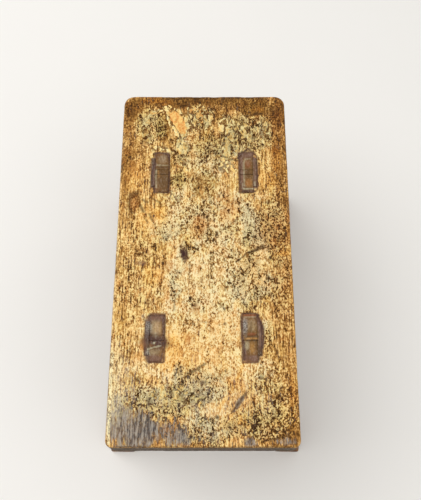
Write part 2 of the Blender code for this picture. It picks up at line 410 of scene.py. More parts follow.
@dataclass(frozen=True)
class AgedTimber:
    """Finish of the legs, rails and small pieces: old wood with streaks, pores and worn arrises.

    Attributes:
        name: The material's name.
        light: Colour of the pale streaks.
        dark: Colour of the dark streaks.
        worn: Colour where arrises are rubbed bare.
        grime: Colour of the dirt in hollows.
        dirt: How much dirt lies on it, 0 to 1.
        roughness: How matt the surface is.
        broad: How many broad streaks lie in a metre across, through and along the grain.
        fine: The same of the fine streaks.
        blotch: The same of the blotches.
        pores: The same of the pores.
        ends: The same of the breaks in the marks on the ends.
        pits: The same of the pits in the ends.
        pit_shift: Where the pits are cut from the endless noise.
        relief: How far the streaks stand out, in metres.
        pigments: Colours of the marks on the ends that show in the seat.
    """

    name: str
    light: RGB
    dark: RGB
    worn: RGB
    grime: RGB
    dirt: float = 0.4
    roughness: float = 0.5
    broad: Triple = (150.0, 150.0, 9.0)
    fine: Triple = (620.0, 620.0, 32.0)
    blotch: Triple = (42.0, 42.0, 17.0)
    pores: Triple = (1500.0, 1500.0, 85.0)
    ends: Triple = (520.0, 520.0, 520.0)
    pits: Triple = (560.0, 260.0, 560.0)
    pit_shift: Triple = (3.0, 1.0, 2.0)
    relief: float = 0.35 * MM
    pigments: Pigments = Pigments()

    def material(self) -> bpy.types.Material:
        """Builds the finish, which follows the piece's grain.

        Returns:
            The material.
        """
        graph = WoodGraph(self.name)
        grain = graph.grain
        broad = graph.noise(graph.stretch(grain, self.broad), detail=5.0, roughness=0.62, distortion=0.4)
        fine = graph.noise(graph.stretch(grain, self.fine), detail=4.0, roughness=0.65)
        blotch = graph.noise(graph.stretch(grain, self.blotch), detail=5.0, roughness=0.6)
        pores = graph.noise(graph.stretch(grain, self.pores), detail=2.0)

        streak = graph.mean(broad, fine, 0.4)
        colour = graph.blend(graph.span(streak, 0.36, 0.64), self.dark, self.light)
        colour = graph.blend(graph.span(pores, 0.62, 0.74, 0.0, 0.55), colour, self.grime)
        smeared = graph.span(graph.mean(blotch, fine, 0.3), 0.5, 0.68, 0.0, self.dirt)
        colour = graph.blend(smeared, colour, self.grime)
        colour = self.marked(graph, colour, fine)
        colour = graph.blend(graph.span(graph.attribute("hollow"), 0.1, 0.9, 0.0, 0.5), colour, self.grime)
        rubbed = graph.push(graph.attribute("arris"), fine, 1.2)
        colour = graph.blend(graph.span(rubbed, 0.35, 0.8, 0.0, 0.75), colour, self.worn)
        graph.feed(graph.shader.inputs["Base Color"], colour)
        matt = graph.span(blotch, 0.3, 0.7, self.roughness - 0.1, self.roughness + 0.14)
        graph.feed(graph.shader.inputs["Roughness"], matt)
        graph.shader.inputs["Specular IOR Level"].default_value = 0.2
        sunk = graph.span(pores, 0.6, 0.75, 0.0, 0.35)
        graph.bump(graph.math("SUBTRACT", graph.mean(broad, fine, 0.5), sunk), self.relief)
        return graph.material

    def marked(self, graph: WoodGraph, colour: Socket, fine: Socket) -> Socket:
        """Lays the marks of the seat's top over the ends that show in it.

        Args:
            graph: The material being built.
            colour: The bare wood.
            fine: Fine streaks that break the marks up.

        Returns:
            The marked colour.
        """
        paint = self.pigments
        weathered = graph.blend(graph.span(fine, 0.36, 0.64), paint.slate, paint.silver)
        ends = graph.noise(graph.stretch(graph.grain, self.ends), detail=4.0, roughness=0.65)
        patchy = graph.span(ends, 0.36, 0.6, 0.65, 1.0)
        # The chalk layer also carries a painted glint on the dark wedge band of the near-left joint.
        for layer, over in (
            (Layer.OLIVE, paint.olive), (Layer.AMBER, paint.amber), (Layer.RUST, paint.rust),
            (Layer.GREY, weathered), (Layer.PLUM, paint.plum), (Layer.TAR, paint.tar),
            (Layer.CHALK_AND_HIGHLIGHT, paint.chalk_and_highlight), (Layer.CUT, paint.soot),
        ):
            broken = graph.math("MULTIPLY", graph.layer[layer], patchy)
            colour = graph.blend(broken, colour, over)
        pits = graph.noise(graph.stretch(graph.grain, self.pits, self.pit_shift), detail=3.0, roughness=0.65)
        pitted = graph.span(pits, 0.36, 0.64, 0.36, -0.16)
        top = graph.attribute("top")
        sunk = graph.math("MULTIPLY", top, graph.math("MAXIMUM", pitted, 0.0))
        colour = graph.blend(sunk, colour, paint.soot)
        gleam = graph.math("MAXIMUM", graph.math("MULTIPLY", pitted, -1.0), 0.0)
        return graph.blend(graph.math("MULTIPLY", top, gleam), colour, paint.silver)


@dataclass(frozen=True)
class Spread:
    """How one kind of unevenness is spread over the seat's wood.

    Attributes:
        across: How many of its features lie side by side in a metre across the grain.
        along: How many lie end to end in a metre along the grain.
        shift: Where it is cut from the endless noise, so that no two kinds agree.
        detail: How many finer octaves it has.
        roughness: How strong those are.
        distortion: How far it is warped.
    """

    across: float
    along: float
    shift: float
    detail: float = 3.0
    roughness: float = 0.6
    distortion: float = 0.0

    def noise(self, graph: WoodGraph) -> Socket:
        """The unevenness as noise around a half.

        Args:
            graph: The material being built.

        Returns:
            The noise.
        """
        scale = (self.across, self.across, self.along)
        shift = (self.shift, 0.7 * self.shift, 0.3)
        place = graph.stretch(graph.grain, scale, shift)
        return graph.noise(place, self.detail, self.roughness, self.distortion)


@dataclass(frozen=True)
class WornSeatTop:
    """Finish of the seat: golden elm with a worn, flaked and stained top, painted highlights along its left
    arris, and sides darkened by dirt and painted shade.

    One tone runs over the whole top, from grime through bare wood to the old pale coat. Specks, dashes and
    cracks darken it and flecks of old coat lighten it, the more so where the painted layers say.

    Attributes:
        name: The material's name.
        golden: Colours of that tone on sound wood, from grime to old coat.
        bleached: The same where the wood is worn pale.
        hues: Tints that drift over the wood, olive to pink.
        cream: The old coat where it is thick, dark to light.
        peach: The same where it is warm.
        reddish: Tint of the reddish patches.
        drab: Tint of the drab patches.
        dust_and_highlight: Pale dust rubbed into the grain, also laid as painted highlights along the seat's
            left arris.
        gilded: Tint of the clear golden patches.
        rubbed: Arrises rubbed bare.
        grimy_shaded_flank: Colours of the four sides, dark to light: dirt with painted shade, as on faces
            turned from the light.
        under: Colours of the raw wood under the seat, dark to light.
        pigments: Colours of the other marks.
        relief: How far the tone stands out, in metres.
        streak: Long soft streaks of the grain.
        line: Thin dark lines along the grain.
        dash: Short dark dashes along the grain.
        band: Broad bands along the grain.
        cloud: Broad unevenness of tone.
        hue: Drift of the tints.
        fleck: Flecks a few millimetres long.
        fine: The finest specks.
        curl: Curled flecks of old coat.
        lace: What the thin squiggles of old coat follow.
        scroll: What the thick old coat winds along.
        mottle: Blotches a finger wide.
        speck: Specks of grime.
        crack: What the cracks follow.
    """

    name: str = "worn_seat_top"
    golden: Stops = (
        (0.02, srgb(78, 50, 20)),
        (0.18, srgb(110, 72, 30)),
        (0.38, srgb(156, 108, 48)),
        (0.62, srgb(208, 158, 88)),
        (0.75, srgb(234, 188, 116)),
        (0.84, srgb(246, 204, 132)),
        (0.98, srgb(255, 228, 158)),
    )
    bleached: Stops = (
        (0.02, srgb(78, 54, 24)),
        (0.18, srgb(114, 80, 38)),
        (0.38, srgb(164, 118, 63)),
        (0.62, srgb(214, 170, 107)),
        (0.75, srgb(240, 201, 136)),
        (0.84, srgb(253, 223, 160)),
        (0.98, srgb(255, 238, 186)),
    )
    hues: Stops = ((0.36, (0.97, 0.93, 0.76)), (0.5, (1.0, 1.0, 1.0)), (0.64, (1.0, 0.85, 0.74)))
    cream: tuple[RGB, RGB] = (srgb(255, 206, 118), srgb(255, 234, 168))
    peach: tuple[RGB, RGB] = (srgb(232, 156, 80), srgb(255, 210, 126))
    reddish: RGB = srgb(222, 188, 158)
    drab: RGB = srgb(212, 208, 182)
    dust_and_highlight: RGB = srgb(255, 240, 190)
    gilded: RGB = srgb(255, 214, 138)
    rubbed: RGB = srgb(226, 180, 122)
    grimy_shaded_flank: tuple[RGB, RGB] = (srgb(58, 46, 36), srgb(112, 94, 74))
    under: tuple[RGB, RGB] = (srgb(112, 80, 46), srgb(156, 124, 84))
    pigments: Pigments = Pigments()
    relief: float = 0.4 * MM
    streak: Spread = Spread(600, 50, 0.0, 4, 0.6, 0.3)
    line: Spread = Spread(700, 50, 7.1, 2, 0.5, 0.6)
    dash: Spread = Spread(600, 180, 0.9, 3, 0.6, 0.3)
    band: Spread = Spread(85, 15, 6.3)
    cloud: Spread = Spread(48, 30, 2.4, 4)
    hue: Spread = Spread(75, 50, 11.0, 4, 0.65, 0.6)
    fleck: Spread = Spread(350, 215, 4.4, 3, 0.65, 0.6)
    fine: Spread = Spread(620, 430, 2.1, 2, 0.5, 0.4)
    curl: Spread = Spread(240, 165, 3.1, 3, 0.6, 1.4)
    lace: Spread = Spread(190, 130, 8.2, 2, 0.5, 1.2)
    scroll: Spread = Spread(205, 130, 15.7, 2, 0.5, 1.0)
    mottle: Spread = Spread(95, 60, 1.7, 4, 0.62, 0.8)
    speck: Spread = Spread(350, 235, 9.0, 3, 0.6, 0.5)
    crack: Spread = Spread(140, 100, 5.5, 4, 0.6, 1.2)

    def material(self) -> bpy.types.Material:
        """Builds the finish from the seat's grain and its painted layers.

        Returns:
            The material.
        """
        graph = WoodGraph(self.name)
        tone = self.tone(graph)
        colour = self.marked(graph, self.wood(graph, tone), tone)
        streak = self.streak.noise(graph)

        # The sides turn dark grey-brown: dirt, and painted shade as on faces turned from the light.
        side = graph.blend(graph.span(streak, 0.38, 0.62), *self.grimy_shaded_flank)
        colour = graph.blend(graph.attribute("grimy_shaded_flank"), colour, side)
        rubbed = graph.push(graph.attribute("arris"), streak, 1.6)
        colour = graph.blend(graph.span(rubbed, 0.4, 0.95, 0.0, 0.5), colour, self.rubbed)
        raw = graph.blend(graph.span(streak, 0.36, 0.62), *self.under)
        colour = graph.blend(graph.attribute("underneath"), colour, raw)
        filled = graph.math("MULTIPLY", graph.attribute("hollow"), 0.75)
        colour = graph.blend(filled, colour, self.pigments.plum)

        graph.feed(graph.shader.inputs["Base Color"], colour)
        matt = graph.span(self.mottle.noise(graph), 0.3, 0.7, 0.5, 0.72)
        graph.feed(graph.shader.inputs["Roughness"], matt)
        graph.shader.inputs["Specular IOR Level"].default_value = 0.1
        graph.bump(graph.math("ADD", graph.math("MULTIPLY", streak, 0.5), tone), self.relief)
        return graph.material

    def thread(self, graph: Graph, noise: Socket, level: float, half: float) -> Socket:
        """A thin line that winds where a noise passes a level, fading out by half a width beside it."""
        away = graph.math("ABSOLUTE", graph.math("SUBTRACT", noise, level))
        return graph.span(away, 0.0, half, 1.0, 0.0)

    def tone(self, graph: WoodGraph) -> Socket:
        """How light the top is, from grime at 0 to old coat at 1.

        Args:
            graph: The material being built.

        Returns:
            The tone.
        """
        layer = graph.layer
        cloud = self.cloud.noise(graph)
        mottle = self.mottle.noise(graph)
        flaked = layer[Layer.FLAKE]
        patchy = graph.span(mottle, 0.4, 0.6, 0.5, 2.1)
        cloudy = graph.span(cloud, 0.36, 0.64, 0.6, 1.4)
        gritty = graph.math("MULTIPLY", graph.math("ADD", 0.32, flaked), cloudy)
        crumbly = graph.math("MULTIPLY", graph.math("ADD", 0.08, flaked), patchy)
        fleck = graph.span(self.fleck.noise(graph), 0.38, 0.62)
        fine = graph.span(self.fine.noise(graph), 0.4, 0.6)
        curl = self.curl.noise(graph)
        lace = self.lace.noise(graph)
        dash = graph.span(graph.push(self.dash.noise(graph), mottle, 0.45), 0.57, 0.63)
        thin = self.line.noise(graph)
        speck = graph.push(self.speck.noise(graph), mottle, 0.9)
        rift = self.crack.noise(graph)
        soot = graph.span(graph.push(layer[Layer.GRIME], self.speck.noise(graph), 2.4), 0.5, 0.6)
        sound = graph.math("MAXIMUM", layer[Layer.PALE], layer[Layer.STAIN])
        plain = graph.span(graph.math("MAXIMUM", sound, flaked), 0.0, 0.8, 1.0, 0.4)
        blotchy = graph.math("ADD", 0.3, graph.math("MULTIPLY", flaked, 0.6))

        tone = graph.push(0.72, cloud, 0.25)
        tone = graph.push(tone, self.band.noise(graph), 0.4)
        for amount, lean in (
            (graph.push(0.0, self.streak.noise(graph), 1.6), plain),
            (graph.push(0.0, fleck, 0.54), gritty),
            (graph.push(0.0, fine, 0.95), gritty),
            (graph.span(curl, 0.53, 0.57, 0.0, 0.85), crumbly),
            (graph.span(curl, 0.44, 0.39, 0.0, -0.55), crumbly),
            (self.thread(graph, lace, 0.53, 0.04), graph.math("MULTIPLY", crumbly, 0.9)),
            (self.thread(graph, lace, 0.45, 0.035), graph.math("MULTIPLY", crumbly, -0.7)),
            (graph.span(speck, 0.58, 0.61, 0.0, -0.7), crumbly),
            (graph.push(0.0, mottle, 1.0), blotchy),
            (dash, graph.span(sound, 0.0, 0.6, -0.42, -0.28)),
            (graph.span(thin, 0.58, 0.63), graph.span(sound, 0.0, 0.6, -0.4, -0.14)),
            (graph.span(thin, 0.42, 0.36), 0.1),
            (self.thread(graph, rift, 0.5, 0.035), graph.span(flaked, 0.0, 0.5, -0.1, -0.55)),
            (flaked, 0.3),
            (soot, -0.5),
            (layer[Layer.PALE], 0.09),
            (layer[Layer.STAIN], -0.4),
        ):
            tone = graph.math("ADD", tone, graph.math("MULTIPLY", amount, lean))
        return tone

    def wood(self, graph: WoodGraph, tone: Socket) -> Socket:
        """Colour of the wood and the old coat, without the other marks.

        Args:
            graph: The material being built.
            tone: How light the top is.

        Returns:
            The colour.
        """
        pale = graph.span(graph.push(graph.layer[Layer.PALE], self.mottle.noise(graph), 1.2), 0.1, 0.8)
        colour = graph.blend(pale, graph.ramp(tone, self.golden), graph.ramp(tone, self.bleached))
        tint = graph.ramp(self.hue.noise(graph), self.hues)
        return graph.blend(0.8, colour, tint, "MULTIPLY")

    def marked(self, graph: WoodGraph, colour: Socket, tone: Socket) -> Socket:
        """Lays the tints, weathering, old coat and dirt over the wood, with the painted highlights and
        painted shade lines along the seat's edges.

        Args:
            graph: The material being built.
            colour: Colour of the wood.
            tone: How light the top is.

        Returns:
            The marked colour.
        """
        layer = graph.layer
        paint = self.pigments
        lifted = graph.ramp(graph.math("ADD", tone, 0.1), self.bleached)
        clear = graph.blend(1.0, lifted, self.gilded, "MULTIPLY")
        colour = graph.blend(layer[Layer.AMBER], colour, clear)
        fleck = self.fleck.noise(graph)
        curl = self.curl.noise(graph)
        fibre = graph.mean(self.dash.noise(graph), self.line.noise(graph), 0.5)
        weathered = graph.blend(graph.span(fibre, 0.42, 0.61), paint.slate, paint.silver)
        broken = graph.push(graph.push(layer[Layer.GREY], fleck, 0.8), fibre, 1.6)
        bare = graph.span(broken, 0.05, 0.95, 0.0, 0.85)
        colour = graph.blend(bare, colour, weathered)
        for kind, tint in ((Layer.RUST, self.reddish), (Layer.OLIVE, self.drab)):
            colour = graph.blend(layer[kind], colour, tint, "MULTIPLY")
        winding = graph.span(self.scroll.noise(graph), 0.44, 0.56)
        holes = self.speck.noise(graph)
        for kind, shades, thick, ground, bite in (
            (Layer.CREAM, self.cream, graph.push(layer[Layer.CREAM], winding, 0.8), 0.7, 0.45),
            (Layer.PEACH, self.peach, graph.push(layer[Layer.PEACH], curl, 1.6), 0.2, 0.25),
        ):
            beside = graph.span(layer[kind], 0.0, 0.2)
            rim = graph.math("MULTIPLY", graph.span(thick, -0.3, 0.1, 0.0, ground), beside)
            colour = graph.blend(rim, colour, paint.umber)
            coat = graph.blend(graph.span(fleck, 0.36, 0.6), *shades)
            coat = graph.blend(graph.span(holes, 0.56, 0.6, 0.0, bite), coat, paint.umber)
            colour = graph.blend(graph.span(thick, 0.46, 0.52), colour, coat)
        # The chalk layer lays pale dust, and also painted highlights on the left arris, more strongly where
        # the top is light.
        dust_and_highlight_share = graph.math("MULTIPLY", layer[Layer.CHALK_AND_HIGHLIGHT], graph.span(tone, 0.4, 0.8, 0.15, 1.0))
        colour = graph.blend(dust_and_highlight_share, colour, self.dust_and_highlight)
        # The cut layer darkens cuts and cracks, and also paints shade lines along the seat's left side and
        # near end.
        for kind, over in ((Layer.PLUM, paint.plum), (Layer.TAR, paint.tar), (Layer.CUT, paint.soot)):
            broken = graph.math("MULTIPLY", layer[kind], graph.span(fleck, 0.3, 0.55, 0.5, 1.0))
            colour = graph.blend(broken, colour, over)
        return colour


@dataclass(frozen=True)
class Patch:
    """A soft-edged oval mark on the seat's top.

    Attributes:
        layer: What the mark is made of.
        x: Its middle across the seat, in millimetres from the centre line.
        y: Its middle along the seat, in millimetres from the centre.
        across: Half its width.
        along: Half its length.
        strength: How strong it is in the middle. A negative one clears what is there.
        turn: How far it is turned, in degrees, anticlockwise seen from above.
        ragged: How far its edge wanders, as a share of its size.
        EDGE: Where it has faded out and where it is full, as shares of its size.
    """

    EDGE = (1.15, 0.35)

    layer: Layer
    x: float
    y: float
    across: float
    along: float
    strength: float
    turn: float = 0.0
    ragged: float = 0.5

    def amount(self, places: np.ndarray, wander: np.ndarray) -> np.ndarray:
        """How strong the mark is at each place.

        Args:
            places: Points on the seat, in millimetres.
            wander: Noise at those points, around 0.

        Returns:
            The strength at each point.
        """
        angle = math.radians(self.turn)
        off_x = places[:, 0] - self.x
        off_y = places[:, 1] - self.y
        u = (off_x * math.cos(angle) + off_y * math.sin(angle)) / self.across
        v = (off_y * math.cos(angle) - off_x * math.sin(angle)) / self.along
        reach = np.hypot(u, v) + self.ragged * wander
        return self.strength * smoothstep(*self.EDGE, reach)


@dataclass(frozen=True)
class Stroke:
    """A line mark on the seat's top, such as a scratch or a crack.

    Attributes:
        layer: What the mark is made of.
        points: Where it runs, in millimetres.
        width: How far to each side it has faded out, in millimetres.
        strength: How strong it is.
        EDGE: Where it has faded out and where it is full, as shares of its width.
    """

    EDGE = (1.0, 0.2)

    layer: Layer
    points: tuple[tuple[float, float], ...]
    width: float
    strength: float

    def amount(self, places: np.ndarray, wander: np.ndarray) -> np.ndarray:
        """How strong the mark is at each place.

        Args:
            places: Points on the seat, in millimetres.
            wander: Noise at those points, around 0.

        Returns:
            The strength at each point.
        """
        nearest = np.full(len(places), np.inf)
        for first, last in zip(self.points, self.points[1:]):
            start = np.array(first)
            run = np.array(last) - start
            share = np.clip((places - start) @ run / (run @ run), 0.0, 1.0)
            nearest = np.minimum(nearest, np.linalg.norm(places - start - share[:, None] * run, axis=1))
        return self.strength * smoothstep(*self.EDGE, nearest / self.width * (1.0 + wander))


Mark = Patch | Stroke


@dataclass(frozen=True)
class MarkSheet:
    """All the marks that show on the seat's top, on the seat and on the joints that end in it.

    Attributes:
        marks: The marks.
        height: How high the seat's top is.
        fade: How far below the top the marks have faded out.
        full: Down to which share of that they keep their strength.
        ragged: How far their edges wander.
        ragged_size: How wide those bends are, across, along and through the seat.
        seed: Which noise makes their edges ragged.
    """

    marks: tuple[Mark, ...]
    height: float
    fade: float = 6.0 * MM
    full: float = 0.4
    ragged: float = 1.6
    ragged_size: Triple = (0.009, 0.014, 0.009)
    seed: int = 407

    def upper(self, points: np.ndarray) -> np.ndarray:
        """How far points belong to the seat's top: 1 on it, falling to 0 below it."""
        return smoothstep(self.height - self.fade, self.height - self.full * self.fade, points[:, 2])

    def amount(self, points: np.ndarray, layer: Layer) -> np.ndarray:
        """How much of one layer lies at each point.

        Args:
            points: The points.
            layer: The layer.

        Returns:
            Values from 0 to 1.
        """
        total = np.zeros(len(points))
        upper = self.upper(points)
        near = np.flatnonzero(upper > 0)
        if len(near) == 0:
            return total
        places = points[near, :2] / MM
        wander = self.ragged * Noise.rough(points[near], self.ragged_size, self.seed)
        for mark in self.marks:
            if mark.layer is layer:
                total[near] += mark.amount(places, wander)
        return np.clip(total, 0.0, 1.0) * upper


@dataclass(frozen=True)
class Lamp:
    """A square lamp that hangs over the stool.

    Attributes:
        name: Its name.
        at: Where it hangs.
        size: Its side.
        power: Its power, in watts.
    """

    name: str
    at: Triple
    size: float
    power: float

    def hang(self, aim: Triple) -> None:
        """Puts the lamp in the scene.

        Args:
            aim: The point that it faces.
        """
        light = bpy.data.lights.new(self.name, "AREA")
        light.size = self.size
        light.energy = self.power
        holder = placed(self.name, light)
        holder.location = self.at
        holder.rotation_euler = (Vector(aim) - holder.location).to_track_quat("-Z", "Y").to_euler()


@dataclass
class Studio:
    """The pale floor, the soft lights and the camera.

    Attributes:
        camera_at: Where the camera stands.
        pitch: How far it looks down from the horizon, in degrees.
        focal_pixels: Its focal length, in pixels of the picture.
        picture_height: The picture's longer side, in pixels.
        sensor: The camera's sensor width, in millimetres.
        floor_colour: The floor's colour.
        floor_shade: How bright its darker parts are beside that.
        floor_clouds: How many of those lie in a metre.
        floor_size: How far the floor runs each way.
        floor_cells: How many faces it has along a side.
        lamps: The lamps.
        aim: The point that the lamps face.
        room_colour: Colour of the even light all round.
        room_strength: How strong that light is.
    """

    camera_at: Triple = (0.0073, -0.2648, 0.8914)
    pitch: float = 67.88
    focal_pixels: float = 660.0
    picture_height: float = 500.0
    sensor: float = 36.0
    floor_colour: RGB = srgb(246, 244, 240)
    floor_shade: float = 0.96
    floor_clouds: float = 3.0
    floor_size: float = 6.0
    floor_cells: int = 8
    lamps: tuple[Lamp, ...] = (
        Lamp("key_light", (-1.1, 0.35, 2.0), 2.2, 26.5),
        Lamp("fill_light", (1.3, -0.9, 1.7), 2.0, 7.0),
    )
    aim: Triple = (0.0, 0.0, 0.15)
    room_colour: RGB = (1.0, 0.99, 0.97)
    room_strength: float = 0.62

    def build(self) -> None:
        """Adds the floor, the world, the lamps and the camera."""
        self.add_floor()
        self.add_world()
        for lamp in self.lamps:
            lamp.hang(self.aim)
        self.add_camera()
        bpy.context.scene.view_settings.view_transform = "Standard"

    def add_floor(self) -> None:
        """Lays a plain floor with a faint unevenness of tone."""
        bm = bmesh.new()
        cells = self.floor_cells
        bmesh.ops.create_grid(bm, x_segments=cells, y_segments=cells, size=self.floor_size / 2)
        floor = placed("floor", finished(bm, "floor"))
        graph = Graph("pale_floor")
        place = graph.node("ShaderNodeTexCoord", {}).outputs["Object"]
        cloud = graph.noise(graph.stretch(place, (self.floor_clouds,) * 3), detail=3.0)
        darker = tuple(self.floor_shade * channel for channel in self.floor_colour)
        graph.feed(graph.shader.inputs["Base Color"], graph.blend(cloud, darker, self.floor_colour))
        graph.shader.inputs["Roughness"].default_value = 0.8
        floor.data.materials.append(graph.material)

    def add_world(self) -> None:
        """Surrounds the stool with even light."""
        world = bpy.data.worlds.new("soft_room")
        world.use_nodes = True
        background = world.node_tree.nodes["Background"]
        background.inputs["Color"].default_value = (*self.room_colour, 1.0)
        background.inputs["Strength"].default_value = self.room_strength
        bpy.context.scene.world = world

    def add_camera(self) -> None:
        """Sets the camera at the photograph's angle."""
        camera = bpy.data.cameras.new("camera")
        camera.sensor_width = self.sensor
        camera.lens = self.focal_pixels / self.picture_height * self.sensor
        holder = placed("camera", camera)
        holder.location = self.camera_at
        holder.rotation_euler = (math.radians(90.0 - self.pitch), 0.0, 0.0)
        bpy.context.scene.camera = holder


@dataclass(frozen=True)
class Weathering:
    """How far years of use have moved a piece's surface. Lengths are in metres.

    Attributes:
        wander: How far a face strays from flat.
        ripple: How deep the tool marks along the grain are.
        bruise: How deep the dents are.
        chip: How much is broken or rubbed off the arrises.
        wander_size: How wide the strays are, across, through and along the grain.
        ripple_size: The same of the tool marks.
        bruise_size: The same of the dents.
        chip_size: The same of the chips.
        bruised: Between which levels of the noise the dents set in.
        chipped: The same of the chips.
    """

    wander: float = 0.5 * MM
    ripple: float = 0.12 * MM
    bruise: float = 0.5 * MM
    chip: float = 1.0 * MM
    wander_size: Triple = (0.03, 0.03, 0.08)
    ripple_size: Triple = (0.004, 0.004, 0.05)
    bruise_size: Triple = (0.014, 0.014, 0.02)
    chip_size: Triple = (0.012, 0.012, 0.022)
    bruised: tuple[float, float] = (0.12, 0.3)
    chipped: tuple[float, float] = (-0.1, 0.25)

    def strays(self, grain: np.ndarray, seed: int) -> np.ndarray:
        """How far each point strays from flat."""
        return self.wander * Noise.rough(grain, self.wander_size, seed)

    def ripples(self, grain: np.ndarray, seed: int) -> np.ndarray:
        """How far each point lies above or below the tool marks' middle."""
        return self.ripple * Noise.rough(grain, self.ripple_size, seed + 1)

    def bruises(self, grain: np.ndarray, seed: int) -> np.ndarray:
        """How deep each point is dented."""
        return self.bruise * smoothstep(*self.bruised, Noise.rough(grain, self.bruise_size, seed + 2, 2))

    def chips(self, grain: np.ndarray, arris: np.ndarray, seed: int) -> np.ndarray:
        """How much is broken off at each point, given how sharp an arris it lies on."""
        return self.chip * arris * smoothstep(*self.chipped, Noise.rough(grain, self.chip_size, seed + 3))


SMALL_WEAR = Weathering(0.2 * MM, 0.06 * MM, 0.15 * MM, 0.3 * MM)


class Surface:
    """The points of a mesh as arrays, for moving them and for writing attributes.

    Attributes:
        SETTLING: How many rounds of smoothing show where the surface is sharp.
    """

    SETTLING = 12

    def __init__(self, mesh: bpy.types.Mesh) -> None:
        """Reads a mesh.

        Args:
            mesh: The mesh.
        """
        self.mesh = mesh
        count = len(mesh.vertices)
        self.points = np.empty(count * 3)
        mesh.vertices.foreach_get("co", self.points)
        self.points = self.points.reshape(-1, 3)
        self.normals = np.empty(count * 3)
        mesh.vertex_normals.foreach_get("vector", self.normals)
        self.normals = self.normals.reshape(-1, 3)
        self.edges = np.empty(len(mesh.edges) * 2, dtype=np.int32)
        mesh.edges.foreach_get("vertices", self.edges)
        self.edges = self.edges.reshape(-1, 2)

    def smoothed(self, rounds: int) -> np.ndarray:
        """The points after each has moved towards its neighbours some times.

        Args:
            rounds: How many times.

        Returns:
            The moved points. The mesh stays as it is.
        """
        count = len(self.points)
        first, last = self.edges.T
        touching = np.maximum(np.bincount(self.edges.ravel(), minlength=count), 1)
        points = self.points
        for _ in range(rounds):
            total = np.empty_like(points)
            for axis in range(3):
                total[:, axis] = np.bincount(first, points[last, axis], count)
                total[:, axis] += np.bincount(last, points[first, axis], count)
            points = 0.5 * points + 0.5 * total / touching[:, None]
        return points

    def sharpness(self, reach: float) -> np.ndarray:
        """How sharp each point is: 1 on an arris that smoothing moves by the reach, -1 in such a corner."""
        moved = ((self.smoothed(self.SETTLING) - self.points) * self.normals).sum(axis=1)
        return np.clip(-moved / reach, -1.0, 1.0)

    def move(self, points: np.ndarray) -> None:
        """Moves the mesh's points.

        Args:
            points: Where they go.
        """
        self.points = points
        self.mesh.vertices.foreach_set("co", points.ravel())
        self.mesh.update()
        self.mesh.vertex_normals.foreach_get("vector", self.normals.reshape(-1))

    def paint(self, name: str, values: np.ndarray) -> None:
        """Writes an attribute.

        Args:
            name: The attribute's name.
            values: One number, or a row of three, for each point.
        """
        if values.ndim == 1:
            self.mesh.attributes.new(name, "FLOAT", "POINT").data.foreach_set("value", values)
        else:
            made = self.mesh.attributes.new(name, "FLOAT_VECTOR", "POINT")
            made.data.foreach_set("vector", values.ravel())


